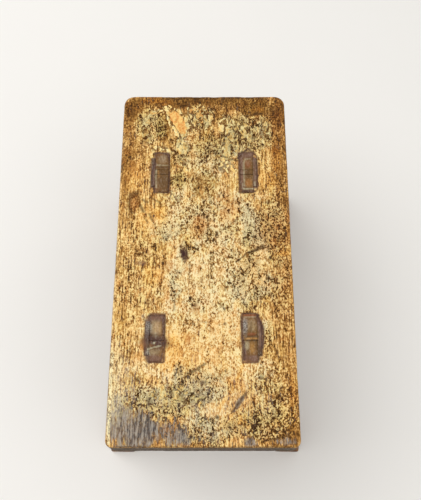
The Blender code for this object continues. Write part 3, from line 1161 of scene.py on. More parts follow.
class Solids:
    """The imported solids, and how near each lies to a point.

    Attributes:
        WELD: Points nearer than this become one.
        SHARP: Faces that turn more than this meet in an arris.
        END: How far the points of an end may lie from its outermost point.
    """

    WELD = 0.001 * MM
    SHARP = math.radians(30)
    END = 0.5 * MM

    def __init__(self, nodes: dict[str, bpy.types.Object]) -> None:
        """Keeps the solids and a search tree of each.

        Args:
            nodes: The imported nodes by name.
        """
        self.nodes = nodes
        self.trees: dict[str, BVHTree] = {}
        self.boxes: dict[str, tuple[np.ndarray, np.ndarray]] = {}
        for name, node in nodes.items():
            points = [vertex.co for vertex in node.data.vertices]
            faces = [tuple(face.vertices) for face in node.data.polygons]
            self.trees[name] = BVHTree.FromPolygons(points, faces)
            corners = self.points(name)
            self.boxes[name] = (corners.min(axis=0), corners.max(axis=0))

    def points(self, name: str) -> np.ndarray:
        """A solid's corner points, one row of three for each."""
        return np.array([vertex.co for vertex in self.nodes[name].data.vertices])

    def welded(self, name: str) -> bmesh.types.BMesh:
        """A solid's mesh with its split points welded.

        Args:
            name: The node's name.

        Returns:
            A mesh to build on, which the caller frees.
        """
        bm = bmesh.new()
        bm.from_mesh(self.nodes[name].data)
        bmesh.ops.remove_doubles(bm, verts=bm.verts, dist=self.WELD)
        return bm

    def closeness(self, name: str, points: np.ndarray, reach: float) -> np.ndarray:
        """How close other solids come to points on one solid.

        Args:
            name: The node that the points are on.
            points: The points.
            reach: Beyond this distance nothing counts.

        Returns:
            1 where another solid touches, falling to 0 at reach.
        """
        nearest = np.full(len(points), reach)
        for other, tree in self.trees.items():
            if other == name:
                continue
            low, high = self.boxes[other]
            around = ((points > low - reach) & (points < high + reach)).all(axis=1)
            for index in np.flatnonzero(around):
                distance = tree.find_nearest(Vector(points[index]), nearest[index])[3]
                if distance is not None:
                    nearest[index] = min(nearest[index], distance)
        return 1.0 - nearest / reach

    def fit(self, name: str, surface: Surface, reach: float, snap: float) -> None:
        """Lays a copy's points back on its solid wherever another solid is near, so that joints stay tight.

        Args:
            name: The copied node's name.
            surface: The copy's surface.
            reach: How near the other solid is.
            snap: Points this near one of the solid's arrises go right onto it.
        """
        points = surface.points.copy()
        close = np.flatnonzero(self.closeness(name, points, reach) > 0.0)
        for index in close:
            points[index] = self.trees[name].find_nearest(Vector(points[index]))[0]
        nearest = np.full(len(close), snap)
        at_joint = points[close]
        for start, end in self.arrises(name):
            run = end - start
            share = np.clip((at_joint - start) @ run / (run @ run), 0.0, 1.0)
            foot = start + share[:, None] * run
            away = np.linalg.norm(at_joint - foot, axis=1)
            better = away < nearest
            points[close[better]] = foot[better]
            nearest[better] = away[better]
        surface.move(points)

    def arrises(self, name: str) -> list[tuple[np.ndarray, np.ndarray]]:
        """The sharp edges of a solid.

        Args:
            name: The node's name.

        Returns:
            The two ends of each.
        """
        bm = self.welded(name)
        sharp = [edge for edge in bm.edges if edge.calc_face_angle(math.pi) > self.SHARP]
        ends = [tuple(np.array(vert.co) for vert in edge.verts) for edge in sharp]
        bm.free()
        return ends

    def axis(self, name: str, grain: Grain) -> np.ndarray:
        """The direction from one end of a solid to the other.

        Args:
            name: The node's name.
            grain: Which row axis that direction is nearest to.

        Returns:
            A vector of length 1.
        """
        points = self.points(name)
        height = points[:, grain.value]
        first = points[height < height.min() + self.END]
        last = points[height > height.max() - self.END]
        run = (last.min(axis=0) + last.max(axis=0) - first.min(axis=0) - first.max(axis=0)) / 2
        return run / np.linalg.norm(run)


def evaluated(obj: bpy.types.Object) -> bpy.types.Mesh:
    """An object's mesh with its modifiers applied.

    Args:
        obj: The object, which is in the scene.

    Returns:
        A new mesh.
    """
    bpy.context.view_layer.update()
    graph = bpy.context.evaluated_depsgraph_get()
    return bpy.data.meshes.new_from_object(obj.evaluated_get(graph))


def register(obj: bpy.types.Object, node: str) -> None:
    """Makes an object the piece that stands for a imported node.

    Args:
        obj: The object.
        node: The node's name.
    """
    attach(obj, BODY)
    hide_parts(node)
    LOG.info("%s: %d faces stand for %s", obj.name, len(obj.data.polygons), node)


@dataclass
class WornPiece:
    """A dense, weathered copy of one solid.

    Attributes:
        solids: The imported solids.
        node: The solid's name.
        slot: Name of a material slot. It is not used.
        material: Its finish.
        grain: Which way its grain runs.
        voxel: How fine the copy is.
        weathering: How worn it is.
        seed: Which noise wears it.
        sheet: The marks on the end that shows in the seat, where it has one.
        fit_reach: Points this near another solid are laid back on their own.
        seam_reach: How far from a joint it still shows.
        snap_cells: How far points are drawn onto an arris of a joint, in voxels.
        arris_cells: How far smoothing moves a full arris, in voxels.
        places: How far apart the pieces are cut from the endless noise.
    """

    solids: Solids
    node: str
    slot: str
    material: bpy.types.Material
    grain: Grain
    voxel: float
    weathering: Weathering
    seed: int
    sheet: MarkSheet | None = None
    fit_reach: float = 2.5 * MM
    seam_reach: float = 3.0 * MM
    snap_cells: float = 0.7
    arris_cells: float = 0.9
    places: Triple = (0.37, 0.61, 0.83)

    def build(self) -> None:
        """Makes the piece and puts it in the scene."""
        name = f"worn_{self.node}"
        piece = placed(name, finished(self.solids.welded(self.node), name))
        remesh = piece.modifiers.new("remesh", "REMESH")
        remesh.mode = "VOXEL"
        remesh.voxel_size = self.voxel
        dense = evaluated(piece)
        piece.modifiers.clear()
        piece.data = dense
        self.weather(Surface(dense))
        dense.materials.clear()
        dense.materials.append(self.material)
        dense.shade_smooth()
        register(piece, self.node)

    def weather(self, surface: Surface) -> None:
        """Wears the surface and writes the attributes that its finish reads.

        Args:
            surface: The piece's surface.
        """
        surface.move(surface.smoothed(2))
        self.solids.fit(self.node, surface, self.fit_reach, self.snap_cells * self.voxel)
        points = surface.points
        grain = self.grain_places(points)
        sharp = surface.sharpness(self.arris_cells * self.voxel)
        arris = np.clip(sharp, 0.0, 1.0)
        seam = self.solids.closeness(self.node, points, self.seam_reach)
        loose = 1.0 - smoothstep(0.3, 0.9, seam)
        wear = self.weathering
        depth = wear.strays(grain, self.seed)
        depth += wear.ripples(grain, self.seed)
        depth -= wear.bruises(grain, self.seed)
        depth -= wear.chips(grain, arris, self.seed)
        moved = points + surface.normals * (depth * loose)[:, None]
        moved[:, 2] = np.maximum(moved[:, 2], 0.0)
        surface.move(moved)
        surface.paint("grain", grain)
        surface.paint("arris", arris * loose)
        hollow = np.maximum(smoothstep(0.35, 1.0, seam), np.clip(-sharp, 0.0, 1.0) * 0.6)
        if self.sheet:
            upper = self.sheet.upper(surface.points)
            hollow *= 1.0 - 0.7 * upper
            surface.paint("top", upper)
            for layer in Layer:
                surface.paint(layer.value, self.sheet.amount(surface.points, layer))
        surface.paint("hollow", hollow)

    def grain_places(self, points: np.ndarray) -> np.ndarray:
        """Where points lie in the piece's wood: across, through and along its grain.

        Args:
            points: The points.

        Returns:
            One row of three for each point, shifted so that no two pieces are cut from one place.
        """
        along = self.solids.axis(self.node, self.grain)
        aside = (0.0, 1.0, 0.0) if self.grain is Grain.UP else (0.0, 0.0, 1.0)
        across = np.cross(along, aside)
        across /= np.linalg.norm(across)
        through = np.cross(along, across)
        return points @ np.array((across, through, along)).T + np.array(self.places) * self.seed


@dataclass
class SeatPlank:
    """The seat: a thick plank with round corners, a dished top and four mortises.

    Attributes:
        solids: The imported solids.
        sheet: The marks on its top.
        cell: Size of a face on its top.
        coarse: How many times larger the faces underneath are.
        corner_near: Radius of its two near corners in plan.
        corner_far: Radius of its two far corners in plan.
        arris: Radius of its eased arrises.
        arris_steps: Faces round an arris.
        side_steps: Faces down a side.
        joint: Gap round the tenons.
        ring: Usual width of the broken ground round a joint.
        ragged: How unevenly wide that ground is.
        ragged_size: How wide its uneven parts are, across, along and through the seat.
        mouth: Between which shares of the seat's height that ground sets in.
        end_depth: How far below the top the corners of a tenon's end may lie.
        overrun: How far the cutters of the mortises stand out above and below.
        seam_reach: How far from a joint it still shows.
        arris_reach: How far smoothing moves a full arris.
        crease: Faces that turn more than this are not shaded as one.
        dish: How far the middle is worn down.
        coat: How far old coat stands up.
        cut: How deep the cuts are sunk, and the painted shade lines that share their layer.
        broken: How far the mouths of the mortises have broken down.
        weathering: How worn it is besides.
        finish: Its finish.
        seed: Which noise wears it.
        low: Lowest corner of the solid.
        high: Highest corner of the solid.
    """

    solids: Solids
    sheet: MarkSheet
    cell: float = 1.05 * MM
    coarse: int = 4
    corner_near: float = 7.0 * MM
    corner_far: float = 12.0 * MM
    arris: float = 1.4 * MM
    arris_steps: int = 4
    side_steps: int = 7
    joint: float = 0.05 * MM
    ring: float = 1.0 * MM
    ragged: float = 2.4
    ragged_size: Triple = (0.007, 0.009, 0.02)
    mouth: tuple[float, float] = (0.93, 0.99)
    end_depth: float = 0.1 * MM
    overrun: float = 8.0 * MM
    seam_reach: float = 2.5 * MM
    arris_reach: float = 1.0 * MM
    crease: float = math.radians(55)
    dish: float = 0.9 * MM
    coat: float = 0.22 * MM
    cut: float = 0.4 * MM
    broken: float = 0.7 * MM
    weathering: Weathering = Weathering(
        wander=0.5 * MM,
        ripple=0.16 * MM,
        bruise=0.5 * MM,
        chip=0.6 * MM,
        wander_size=(0.05, 0.05, 0.09),
        ripple_size=(0.0045, 0.0045, 0.05),
        bruise_size=(0.012, 0.012, 0.018),
        chip_size=(0.012, 0.012, 0.026),
        bruised=(0.14, 0.32),
        chipped=(-0.05, 0.3),
    )
    finish: WornSeatTop = field(default_factory=WornSeatTop)
    seed: int = 400
    low: np.ndarray = field(init=False)
    high: np.ndarray = field(init=False)

    def build(self) -> None:
        """Makes the seat and puts it in the scene."""
        self.low, self.high = (np.array(corner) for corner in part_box("seat"))
        seat = placed("worn_seat", self.slab())
        self.wear(Surface(seat.data))
        cutters = self.cut_mortises(seat)
        seat.data = evaluated(seat)
        seat.modifiers.clear()
        for cutter in cutters:
            bpy.data.objects.remove(cutter)
        self.paint(Surface(seat.data))
        seat.data.materials.clear()
        seat.data.materials.append(self.finish.material())
        seat.data.shade_smooth()
        seat.data.set_sharp_from_angle(angle=self.crease)
        register(seat, "seat")

    def half(self) -> np.ndarray:
        """Half its width and half its length."""
        return (self.high - self.low)[:2] / 2

    def radius(self, points: np.ndarray) -> np.ndarray:
        """The corner radius in plan at the end that each point is nearest to."""
        return np.where(points[:, 1] > 0, self.corner_far, self.corner_near)

    def in_plan(self, points: np.ndarray, inset: float) -> np.ndarray:
        """Moves points of a rectangle so that its corners become round.

        Args:
            points: Points across and along, within the rectangle.
            inset: How far that rectangle lies inside the seat's own.

        Returns:
            The moved points.
        """
        core = (self.half() - inset) - (self.radius(points) - inset)[:, None]
        beyond = np.clip(np.abs(points) - core, 0.0, None)
        length = np.maximum(np.hypot(*beyond.T), 1e-9)
        scale = np.where(beyond.min(axis=1) > 0, beyond.max(axis=1) / length, 1.0)
        return np.sign(points) * (np.abs(points) - beyond * (1.0 - scale)[:, None])

    def outward(self, points: np.ndarray) -> np.ndarray:
        """Which way is out, in plan, at points on the round-cornered outline.

        Args:
            points: Points across and along.

        Returns:
            Vectors of length 1.
        """
        core = self.half() - self.radius(points)[:, None]
        away = points - np.clip(points, -core, core)
        return away / np.linalg.norm(away, axis=1)[:, None]

    def face(self, bm: bmesh.types.BMesh, height: float, cells: np.ndarray) -> list[bmesh.types.BMEdge]:
        """Adds the flat of the top or of the underside, inside the eased arrises.

        Args:
            bm: The mesh being built.
            height: Its height.
            cells: How many faces it has across and along.

        Returns:
            Its edge loop.
        """
        across, along = (int(count) for count in cells)
        made = bmesh.ops.create_grid(bm, x_segments=across, y_segments=along, size=1.0)["verts"]
        flat = np.array([vert.co[:2] for vert in made]) * (self.half() - self.arris)
        plan = self.in_plan(flat, self.arris)
        for vert, place in zip(made, plan):
            vert.co = (place[0], place[1], height)
        own = set(made)
        return [edge for edge in bm.edges if edge.is_boundary and edge.verts[0] in own]

    def slab(self) -> bpy.types.Mesh:
        """Builds the plank without its mortises.

        Returns:
            The mesh.
        """
        bm = bmesh.new()
        size = self.high - self.low
        coarse = np.round((size[:2] - 2 * self.arris) / self.cell / self.coarse).astype(int)
        rim = self.face(bm, self.high[2], coarse * self.coarse)
        flush = 0.0
        for reach, depth in self.profile(size[2]):
            made = bmesh.ops.extrude_edge_only(bm, edges=rim)["geom"]
            verts = [item for item in made if isinstance(item, bmesh.types.BMVert)]
            rim = [item for item in made if isinstance(item, bmesh.types.BMEdge) and item.is_boundary]
            plan = np.array([vert.co[:2] for vert in verts])
            plan += self.outward(plan) * (reach - flush)
            for vert, place in zip(verts, plan):
                vert.co = (place[0], place[1], self.high[2] - depth)
            flush = reach
        under = self.face(bm, self.low[2], coarse)
        bmesh.ops.bridge_loops(bm, edges=rim + under)
        bmesh.ops.recalc_face_normals(bm, faces=bm.faces)
        return finished(bm, "worn_seat")

    def profile(self, thickness: float) -> list[tuple[float, float]]:
        """The line from the flat of the top, round both arrises, to the underside.

        Args:
            thickness: The plank's thickness.

        Returns:
            How far out each point lies, and how far below the top.
        """
        turns = [math.pi / 2 * step / self.arris_steps for step in range(1, self.arris_steps + 1)]
        drop = thickness - 2 * self.arris
        line = [(self.arris * math.sin(turn), self.arris * (1 - math.cos(turn))) for turn in turns]
        for step in range(1, self.side_steps + 1):
            line.append((self.arris, self.arris + drop * step / self.side_steps))
        for turn in turns[:-1]:
            line.append((self.arris * math.cos(turn), thickness - self.arris * (1 - math.sin(turn))))
        return line

    def wear(self, surface: Surface) -> None:
        """Dishes, dents and chips the plank.

        Args:
            surface: The plank's surface.
        """
        points = surface.points
        grain = self.grain_places(points)
        top = smoothstep(0.4, 0.9, surface.normals[:, 2])
        side = 1.0 - np.abs(surface.normals[:, 2])
        arris = np.clip(surface.sharpness(self.arris_reach), 0.0, 1.0)
        middle = np.clip(1.0 - (np.abs(points[:, :2]) / self.half()) ** 2, 0.0, 1.0).prod(axis=1)
        cuts = np.maximum(self.sheet.amount(points, Layer.CUT), self.sheet.amount(points, Layer.TAR))
        coats = np.maximum(self.sheet.amount(points, Layer.PEACH), self.sheet.amount(points, Layer.CREAM))
        wear = self.weathering
        depth = -self.dish * middle * top
        depth += wear.strays(grain, self.seed)
        depth += wear.ripples(grain, self.seed) * (1.0 + side)
        depth -= wear.bruises(grain, self.seed) * top
        depth -= wear.chips(grain, arris, self.seed)
        depth += (self.coat * coats - self.cut * cuts) * top
        depth -= self.broken * self.joint_ring(points) * top
        surface.move(points + surface.normals * depth[:, None])

    def joint_ends(self) -> dict[str, tuple[np.ndarray, np.ndarray]]:
        """Where the tenons and slips come through the top.

        Returns:
            The lowest and highest corner of each end, by node.
        """
        ends = {}
        for name in self.solids.nodes:
            if name.startswith(("leg_", "slip_")):
                points = self.solids.points(name)
                end = points[points[:, 2] > self.high[2] - self.end_depth]
                ends[name] = (end.min(axis=0), end.max(axis=0))
        return ends

    def joint_ring(self, points: np.ndarray) -> np.ndarray:
        """A ragged ring round each joint, where the mouth of its mortise has broken down.

        Args:
            points: The points.

        Returns:
            1 beside a joint, falling to 0 a little way off.
        """
        ring = np.zeros(len(points))
        uneven = Noise.rough(points, self.ragged_size, self.seed + 9)
        width = self.ring * (1.0 + self.ragged * uneven)
        for low, high in self.joint_ends().values():
            away = np.maximum(np.maximum(low - points, points - high)[:, :2], 0.0)
            beyond = np.hypot(*away.T) - width
            ring = np.maximum(ring, smoothstep(self.ring, 0.0, beyond))
        return ring * smoothstep(*self.mouth, points[:, 2] / self.high[2])

    def cut_mortises(self, seat: bpy.types.Object) -> list[bpy.types.Object]:
        """Cuts a slanting mortise round each leg tenon and its slip.

        Args:
            seat: The seat.

        Returns:
            The cutters, to be removed once the cuts are applied.
        """
        cutters = []
        for name, (low, high) in self.joint_ends().items():
            corner = name.split("_", 1)[1]
            axis = self.solids.axis(f"leg_{corner}", Grain.UP)
            box = self.mortise(f"mortise_{name}", low, high, axis)
            cutter = placed(box.name, box)
            boolean = seat.modifiers.new(name, "BOOLEAN")
            boolean.operation = "DIFFERENCE"
            boolean.object = cutter
            cutters.append(cutter)
        return cutters

    def mortise(self, name: str, low: np.ndarray, high: np.ndarray, axis: np.ndarray) -> bpy.types.Mesh:
        """A slanting box that passes right through the seat.

        Args:
            name: Its name.
            low: Lowest corner of what it lets through, at the seat's top.
            high: Highest corner of that.
            axis: The way it slants.

        Returns:
            The box.
        """
        bm = bmesh.new()
        bmesh.ops.create_cube(bm, size=2.0)
        middle = (low + high) / 2
        half = (high - low) / 2 + self.joint
        for vert in bm.verts:
            height = self.high[2] + self.overrun if vert.co.z > 0 else self.low[2] - self.overrun
            lean = axis[:2] / axis[2] * (height - self.high[2])
            plan = middle[:2] + np.array(vert.co[:2]) * half[:2] + lean
            vert.co = (plan[0], plan[1], height)
        return finished(bm, name)

    def grain_places(self, points: np.ndarray) -> np.ndarray:
        """Where points lie in the plank's wood: across, through and along its grain."""
        return points[:, (0, 2, 1)]

    def paint(self, surface: Surface) -> None:
        """Writes the attributes that the finish reads.

        Args:
            surface: The finished seat's surface.
        """
        points = surface.points
        surface.paint("grain", self.grain_places(points))
        for layer in Layer:
            surface.paint(layer.value, self.sheet.amount(points, layer))
        seam = self.solids.closeness("seat", points, self.seam_reach)
        surface.paint("hollow", np.maximum(smoothstep(0.3, 0.9, seam), self.joint_ring(points)))
        arris = np.clip(surface.sharpness(self.arris_reach), 0.0, 1.0)
        surface.paint("arris", arris * (1.0 - smoothstep(0.1, 0.6, seam)))
        surface.paint("underneath", smoothstep(-0.3, -0.9, surface.normals[:, 2]))
        # Where the sides are, which the finish paints dark with dirt and painted shade.
        surface.paint("grimy_shaded_flank", smoothstep(0.75, 0.25, surface.normals[:, 2]))


def far_marks() -> tuple[Mark, ...]:
    """The marks on the far end of the seat, beyond its tenons.

    Returns:
        The marks.
    """
    pale, amber, stain, grime, flake = Layer.PALE, Layer.AMBER, Layer.STAIN, Layer.GRIME, Layer.FLAKE
    peach, cream, cut, olive, rust = Layer.PEACH, Layer.CREAM, Layer.CUT, Layer.OLIVE, Layer.RUST
    dark_end = (
        Stroke(stain, ((-94, 60), (-92, 185), (-80, 198), (80, 198), (90, 185), (92, 60)), 16, 0.5),
        Patch(stain, 10, 182, 110, 36, 0.35),
        Patch(stain, 50, 189, 26, 12, 0.9),
        Patch(stain, -60, 190, 40, 12, 0.15),
        Patch(stain, 84, 80, 12, 34, 0.24),
        Patch(olive, 62, 186, 26, 14, 0.6),
        Patch(stain, -30, 196, 26, 9, 0.4),
        Patch(stain, 46, 193, 34, 12, 0.55),
        Patch(stain, -84, 186, 16, 18, 0.45),
        Patch(olive, -82, 184, 18, 20, 0.6),
        Patch(stain, 84, 160, 16, 50, 0.4),
        Patch(stain, 58, 180, 16, 8, 0.4),
        Patch(stain, -48, 158, 11, 22, 0.35),
        Patch(stain, 14, 180, 18, 12, 0.35),
        Patch(stain, 4, 136, 22, 26, 0.25),
        Patch(stain, -35, 128, 6, 20, 0.5),
        Patch(pale, -16, 128, 12, 20, 0.6),
        Patch(grime, -28, 195, 17, 7, 0.3),
        Patch(grime, 58, 196, 15, 7, 0.35),
        Patch(grime, 80, 179, 8, 8, 0.42),
        Patch(cut, 79, 181, 9, 8, 0.4),
        Patch(grime, 62, 165, 8, 9, 0.42),
        Patch(grime, -86, 188, 8, 12, 0.3),
        Patch(grime, 18, 176, 16, 10, 0.36),
        Patch(grime, 42, 152, 24, 26, 0.3),
        Patch(grime, -6, 170, 18, 18, 0.27),
        Patch(stain, -80, 125, 14, 26, 0.35),
        Patch(stain, -76, 104, 18, 34, 0.2),
        Patch(stain, -44, 188, 34, 10, 0.45),
        Patch(olive, -48, 160, 13, 24, 0.7),
        Patch(olive, 4, 136, 26, 26, 0.5),
        Patch(olive, 0, 196, 90, 9, 0.5),
    )
    old_coat = (
        Patch(flake, -62, 160, 20, 28, 0.55),
        Patch(flake, -6, 172, 20, 20, 0.5),
        Patch(stain, -4, 170, 22, 20, 0.3),
        Patch(flake, 42, 146, 32, 36, 0.8),
        Patch(stain, 42, 150, 36, 30, 0.3),
        Patch(flake, -26, 126, 14, 26, 0.6),
        Patch(flake, 8, 125, 34, 30, 0.3),
        Patch(flake, 70, 150, 14, 26, 0.55),
        Patch(pale, 44, 147, 14, 16, 0.1),
        Patch(pale, 26, 140, 8, 18, 0.5),
        Patch(pale, 44, 126, 14, 12, 0.4),
        Patch(pale, -14, 155, 14, 14, 0.35),
        Patch(pale, 66, 154, 8, 14, 0.45),
        Patch(pale, -10, 178, 12, 10, 0.5),
        Patch(pale, -25, 132, 8, 24, 0.7),
        Patch(pale, -48, 131, 10, 4, 0.6),
        Patch(pale, 24, 109, 12, 8, 0.6),
        Patch(pale, 8, 116, 36, 30, 0.45),
        Stroke(cream, ((-46, 186), (-42.5, 173), (-37, 160), (-31, 149)), 3.6, 0.85),
        Stroke(cream, ((-42, 187), (-31, 182), (-23, 171), (-20, 158), (-25, 148)), 3.6, 0.85),
        Stroke(cream, ((-26, 150), (-25, 140)), 2.4, 0.9),
        Patch(cream, -25, 130, 8, 15, 1.0),
        Stroke(cream, ((-27, 116), (-22, 108), (-20, 102)), 3.0, 0.6),
        Patch(cream, -9, 180, 16, 11, 0.44),
        Patch(cream, -13, 164, 8, 14, 0.5),
        Patch(cream, 3, 166, 10, 14, 0.46),
        Stroke(cream, ((-50, 181), (-57, 180), (-65, 171), (-69, 160), (-67, 148), (-63, 138)), 4.4, 0.66),
        Stroke(cream, ((-59, 131), (-48, 131), (-40, 127)), 5.0, 0.65),
        Patch(cream, 26, 150, 11, 28, 0.56),
        Patch(cream, 44, 150, 16, 24, 0.44),
        Patch(cream, 68, 154, 12, 22, 0.34),
        Patch(cream, 27, 126, 6, 16, 0.95),
        Patch(cream, 60, 164, 10, 9, -0.3),
        Patch(stain, 60, 164, 10, 10, 0.3),
        Patch(cream, 26, 107, 13, 11, 0.5),
        Patch(peach, -34, 173, 9, 15, 0.95, 30, 0.5),
        Patch(peach, -28, 162, 8, 14, 0.95, 18, 0.5),
        Patch(peach, -9, 182, 11, 8, 0.52),
        Patch(peach, -3, 170, 9, 9, 0.46),
        Patch(peach, -60, 179, 10, 5, 0.46),
        Patch(peach, -66, 150, 6, 14, 0.4),
    )
    tints = (
        Patch(rust, 82, 160, 14, 40, 0.4),
        Patch(amber, -62, 196, 14, 5, 0.6),
        Patch(amber, -44, 193, 8, 5, 0.4),
        Patch(amber, 64, 184, 9, 4, 0.4),
        Patch(amber, -20, 124, 14, 18, 0.35),
        Patch(amber, 83, 118, 7, 26, 0.4),
        Stroke(cut, ((50, 175), (59, 177), (69, 178)), 2.4, 0.85),
        Stroke(cut, ((-64, 172), (-56, 170)), 1.4, 0.6),
        Stroke(cut, ((21, 121), (30, 117), (38, 115)), 1.8, 0.8),
        Stroke(cut, ((2, 182), (12, 183)), 2.0, 0.6),
        Stroke(cut, ((-48, 201), (-10, 201), (74, 201)), 5.0, 0.5),
    )
    return dark_end + old_coat + tints


def middle_marks() -> tuple[Mark, ...]:
    """The marks on the seat between its far tenons and its middle.

    Returns:
        The marks.
    """
    pale, amber, stain, grime, flake = Layer.PALE, Layer.AMBER, Layer.STAIN, Layer.GRIME, Layer.FLAKE
    chalk_and_highlight, rust, cut, olive, cream = Layer.CHALK_AND_HIGHLIGHT, Layer.RUST, Layer.CUT, Layer.OLIVE, Layer.CREAM
    golden_side = (
        Patch(amber, -58, 38, 24, 26, 0.35),
        Patch(amber, -48, 48, 9, 12, 0.35),
        Patch(amber, -76, 92, 16, 22, 0.35),
        Patch(pale, -66, 92, 22, 26, 0.35),
        Patch(amber, 72, 90, 14, 16, 0.35),
        Patch(stain, 84, 92, 10, 22, 0.3),
        Patch(rust, -78, 61, 8, 17, 0.7),
        Patch(stain, -78, 61, 7, 15, 0.4),
        Patch(flake, -62, 22, 22, 34, 0.15),
        Stroke(cut, ((-75, 74), (-81, 71), (-83.5, 63), (-82.5, 54), (-80, 49)), 4.0, 0.7),
        Stroke(cut, ((-75, 72), (-74, 63)), 3.0, 0.35),
        Stroke(cut, ((-71, 58), (-67, 50)), 2.6, 0.75),
        Stroke(cut, ((-69, 65), (-63, 62)), 2.4, 0.7),
        Stroke(cut, ((-60, 47), (-57, 40)), 2.6, 0.7),
        Stroke(cut, ((-57, 66), (-50, 62), (-47, 57)), 2.0, 0.6),
        Stroke(cut, ((-66, 44), (-62, 37)), 2.0, 0.6),
        Stroke(cut, ((-41, 52), (-38, 46)), 2.2, 0.4),
    )
    worn_middle = (
        Patch(flake, -28, 92, 10, 16, 0.5),
        Patch(flake, 51, 32, 9, 40, 0.85),
        Patch(flake, -38, 27, 15, 13, 0.55),
        Patch(flake, 4, 34, 60, 60, 0.26),
        Patch(pale, 6, 60, 48, 56, 0.5),
        Patch(stain, 0, 56, 44, 60, 0.1),
        Patch(pale, 18, 10, 26, 34, 0.25),
        Patch(stain, 18, 4, 20, 28, 0.2),
        Patch(pale, -32, 36, 16, 50, 0.5),
        Patch(pale, 51, 30, 12, 44, 0.9),
        Patch(pale, -34, 70, 8, 8, 0.8),
        Patch(pale, 66, 68, 18, 5, 0.5),
        Stroke(pale, ((34, 74), (42, 62), (48, 50)), 4.0, 0.7),
        Patch(olive, -28, 91, 9, 14, 0.8),
        Patch(stain, -28, 91, 9, 14, 0.3),
        Patch(olive, 0, 84, 20, 22, 0.7),
        Patch(stain, -17, 94, 14, 14, 0.12),
        Patch(stain, 0, 84, 20, 22, 0.22),
        Patch(stain, 2, 65, 7, 10, 0.25),
        Patch(chalk_and_highlight, -25, 4, 6, 18, 0.28),
        Patch(chalk_and_highlight, 20, 20, 12, 16, 0.15),
        Patch(rust, 26, 60, 13, 20, 0.45),
        Patch(rust, -5, 34, 9, 17, 0.85),
        Patch(stain, -5, 34, 9, 17, 0.25),
        Patch(grime, -36, 26, 12, 9, 0.22),
        Patch(pale, -52, 32, 16, 20, 0.8),
        Patch(grime, 50, 30, 7, 30, 0.1),
        Stroke(cream, ((-43, 79), (-37, 72), (-30, 63)), 5.0, 0.45),
        Stroke(cut, ((4, 47), (4.6, 34), (4, 17)), 1.4, 0.75),
        Stroke(cut, ((-6, 74), (-2, 68), (1, 58)), 2.0, 0.5),
        Stroke(cut, ((5, 72), (7, 64)), 1.6, 0.45),
        Stroke(cut, ((30, 36), (38, 42)), 2.0, 0.4),
        Stroke(cut, ((43, 66), (50, 54)), 1.2, 0.5),
        Stroke(cut, ((10, 80), (16, 92), (24, 101)), 1.0, 0.35),
    )
    dark_side = (
        Stroke(stain, ((92, 60), (92, -200)), 15, 0.35),
        Patch(stain, 76, 25, 24, 28, 0.4),
        Patch(rust, 76, 26, 24, 30, 0.6),
        Patch(flake, 70, 28, 20, 30, 0.5),
        Patch(flake, 80, 0, 14, 90, 0.25),
        Patch(grime, 66, 26, 14, 18, 0.2),
        Patch(grime, 84, 34, 9, 15, 0.2),
        Patch(grime, 82, 12, 10, 13, 0.2),
        Patch(cut, 72, 62, 7, 3.6, 0.6),
        Patch(amber, 86, 0, 10, 4, 0.6),
    )
    return golden_side + worn_middle + dark_side


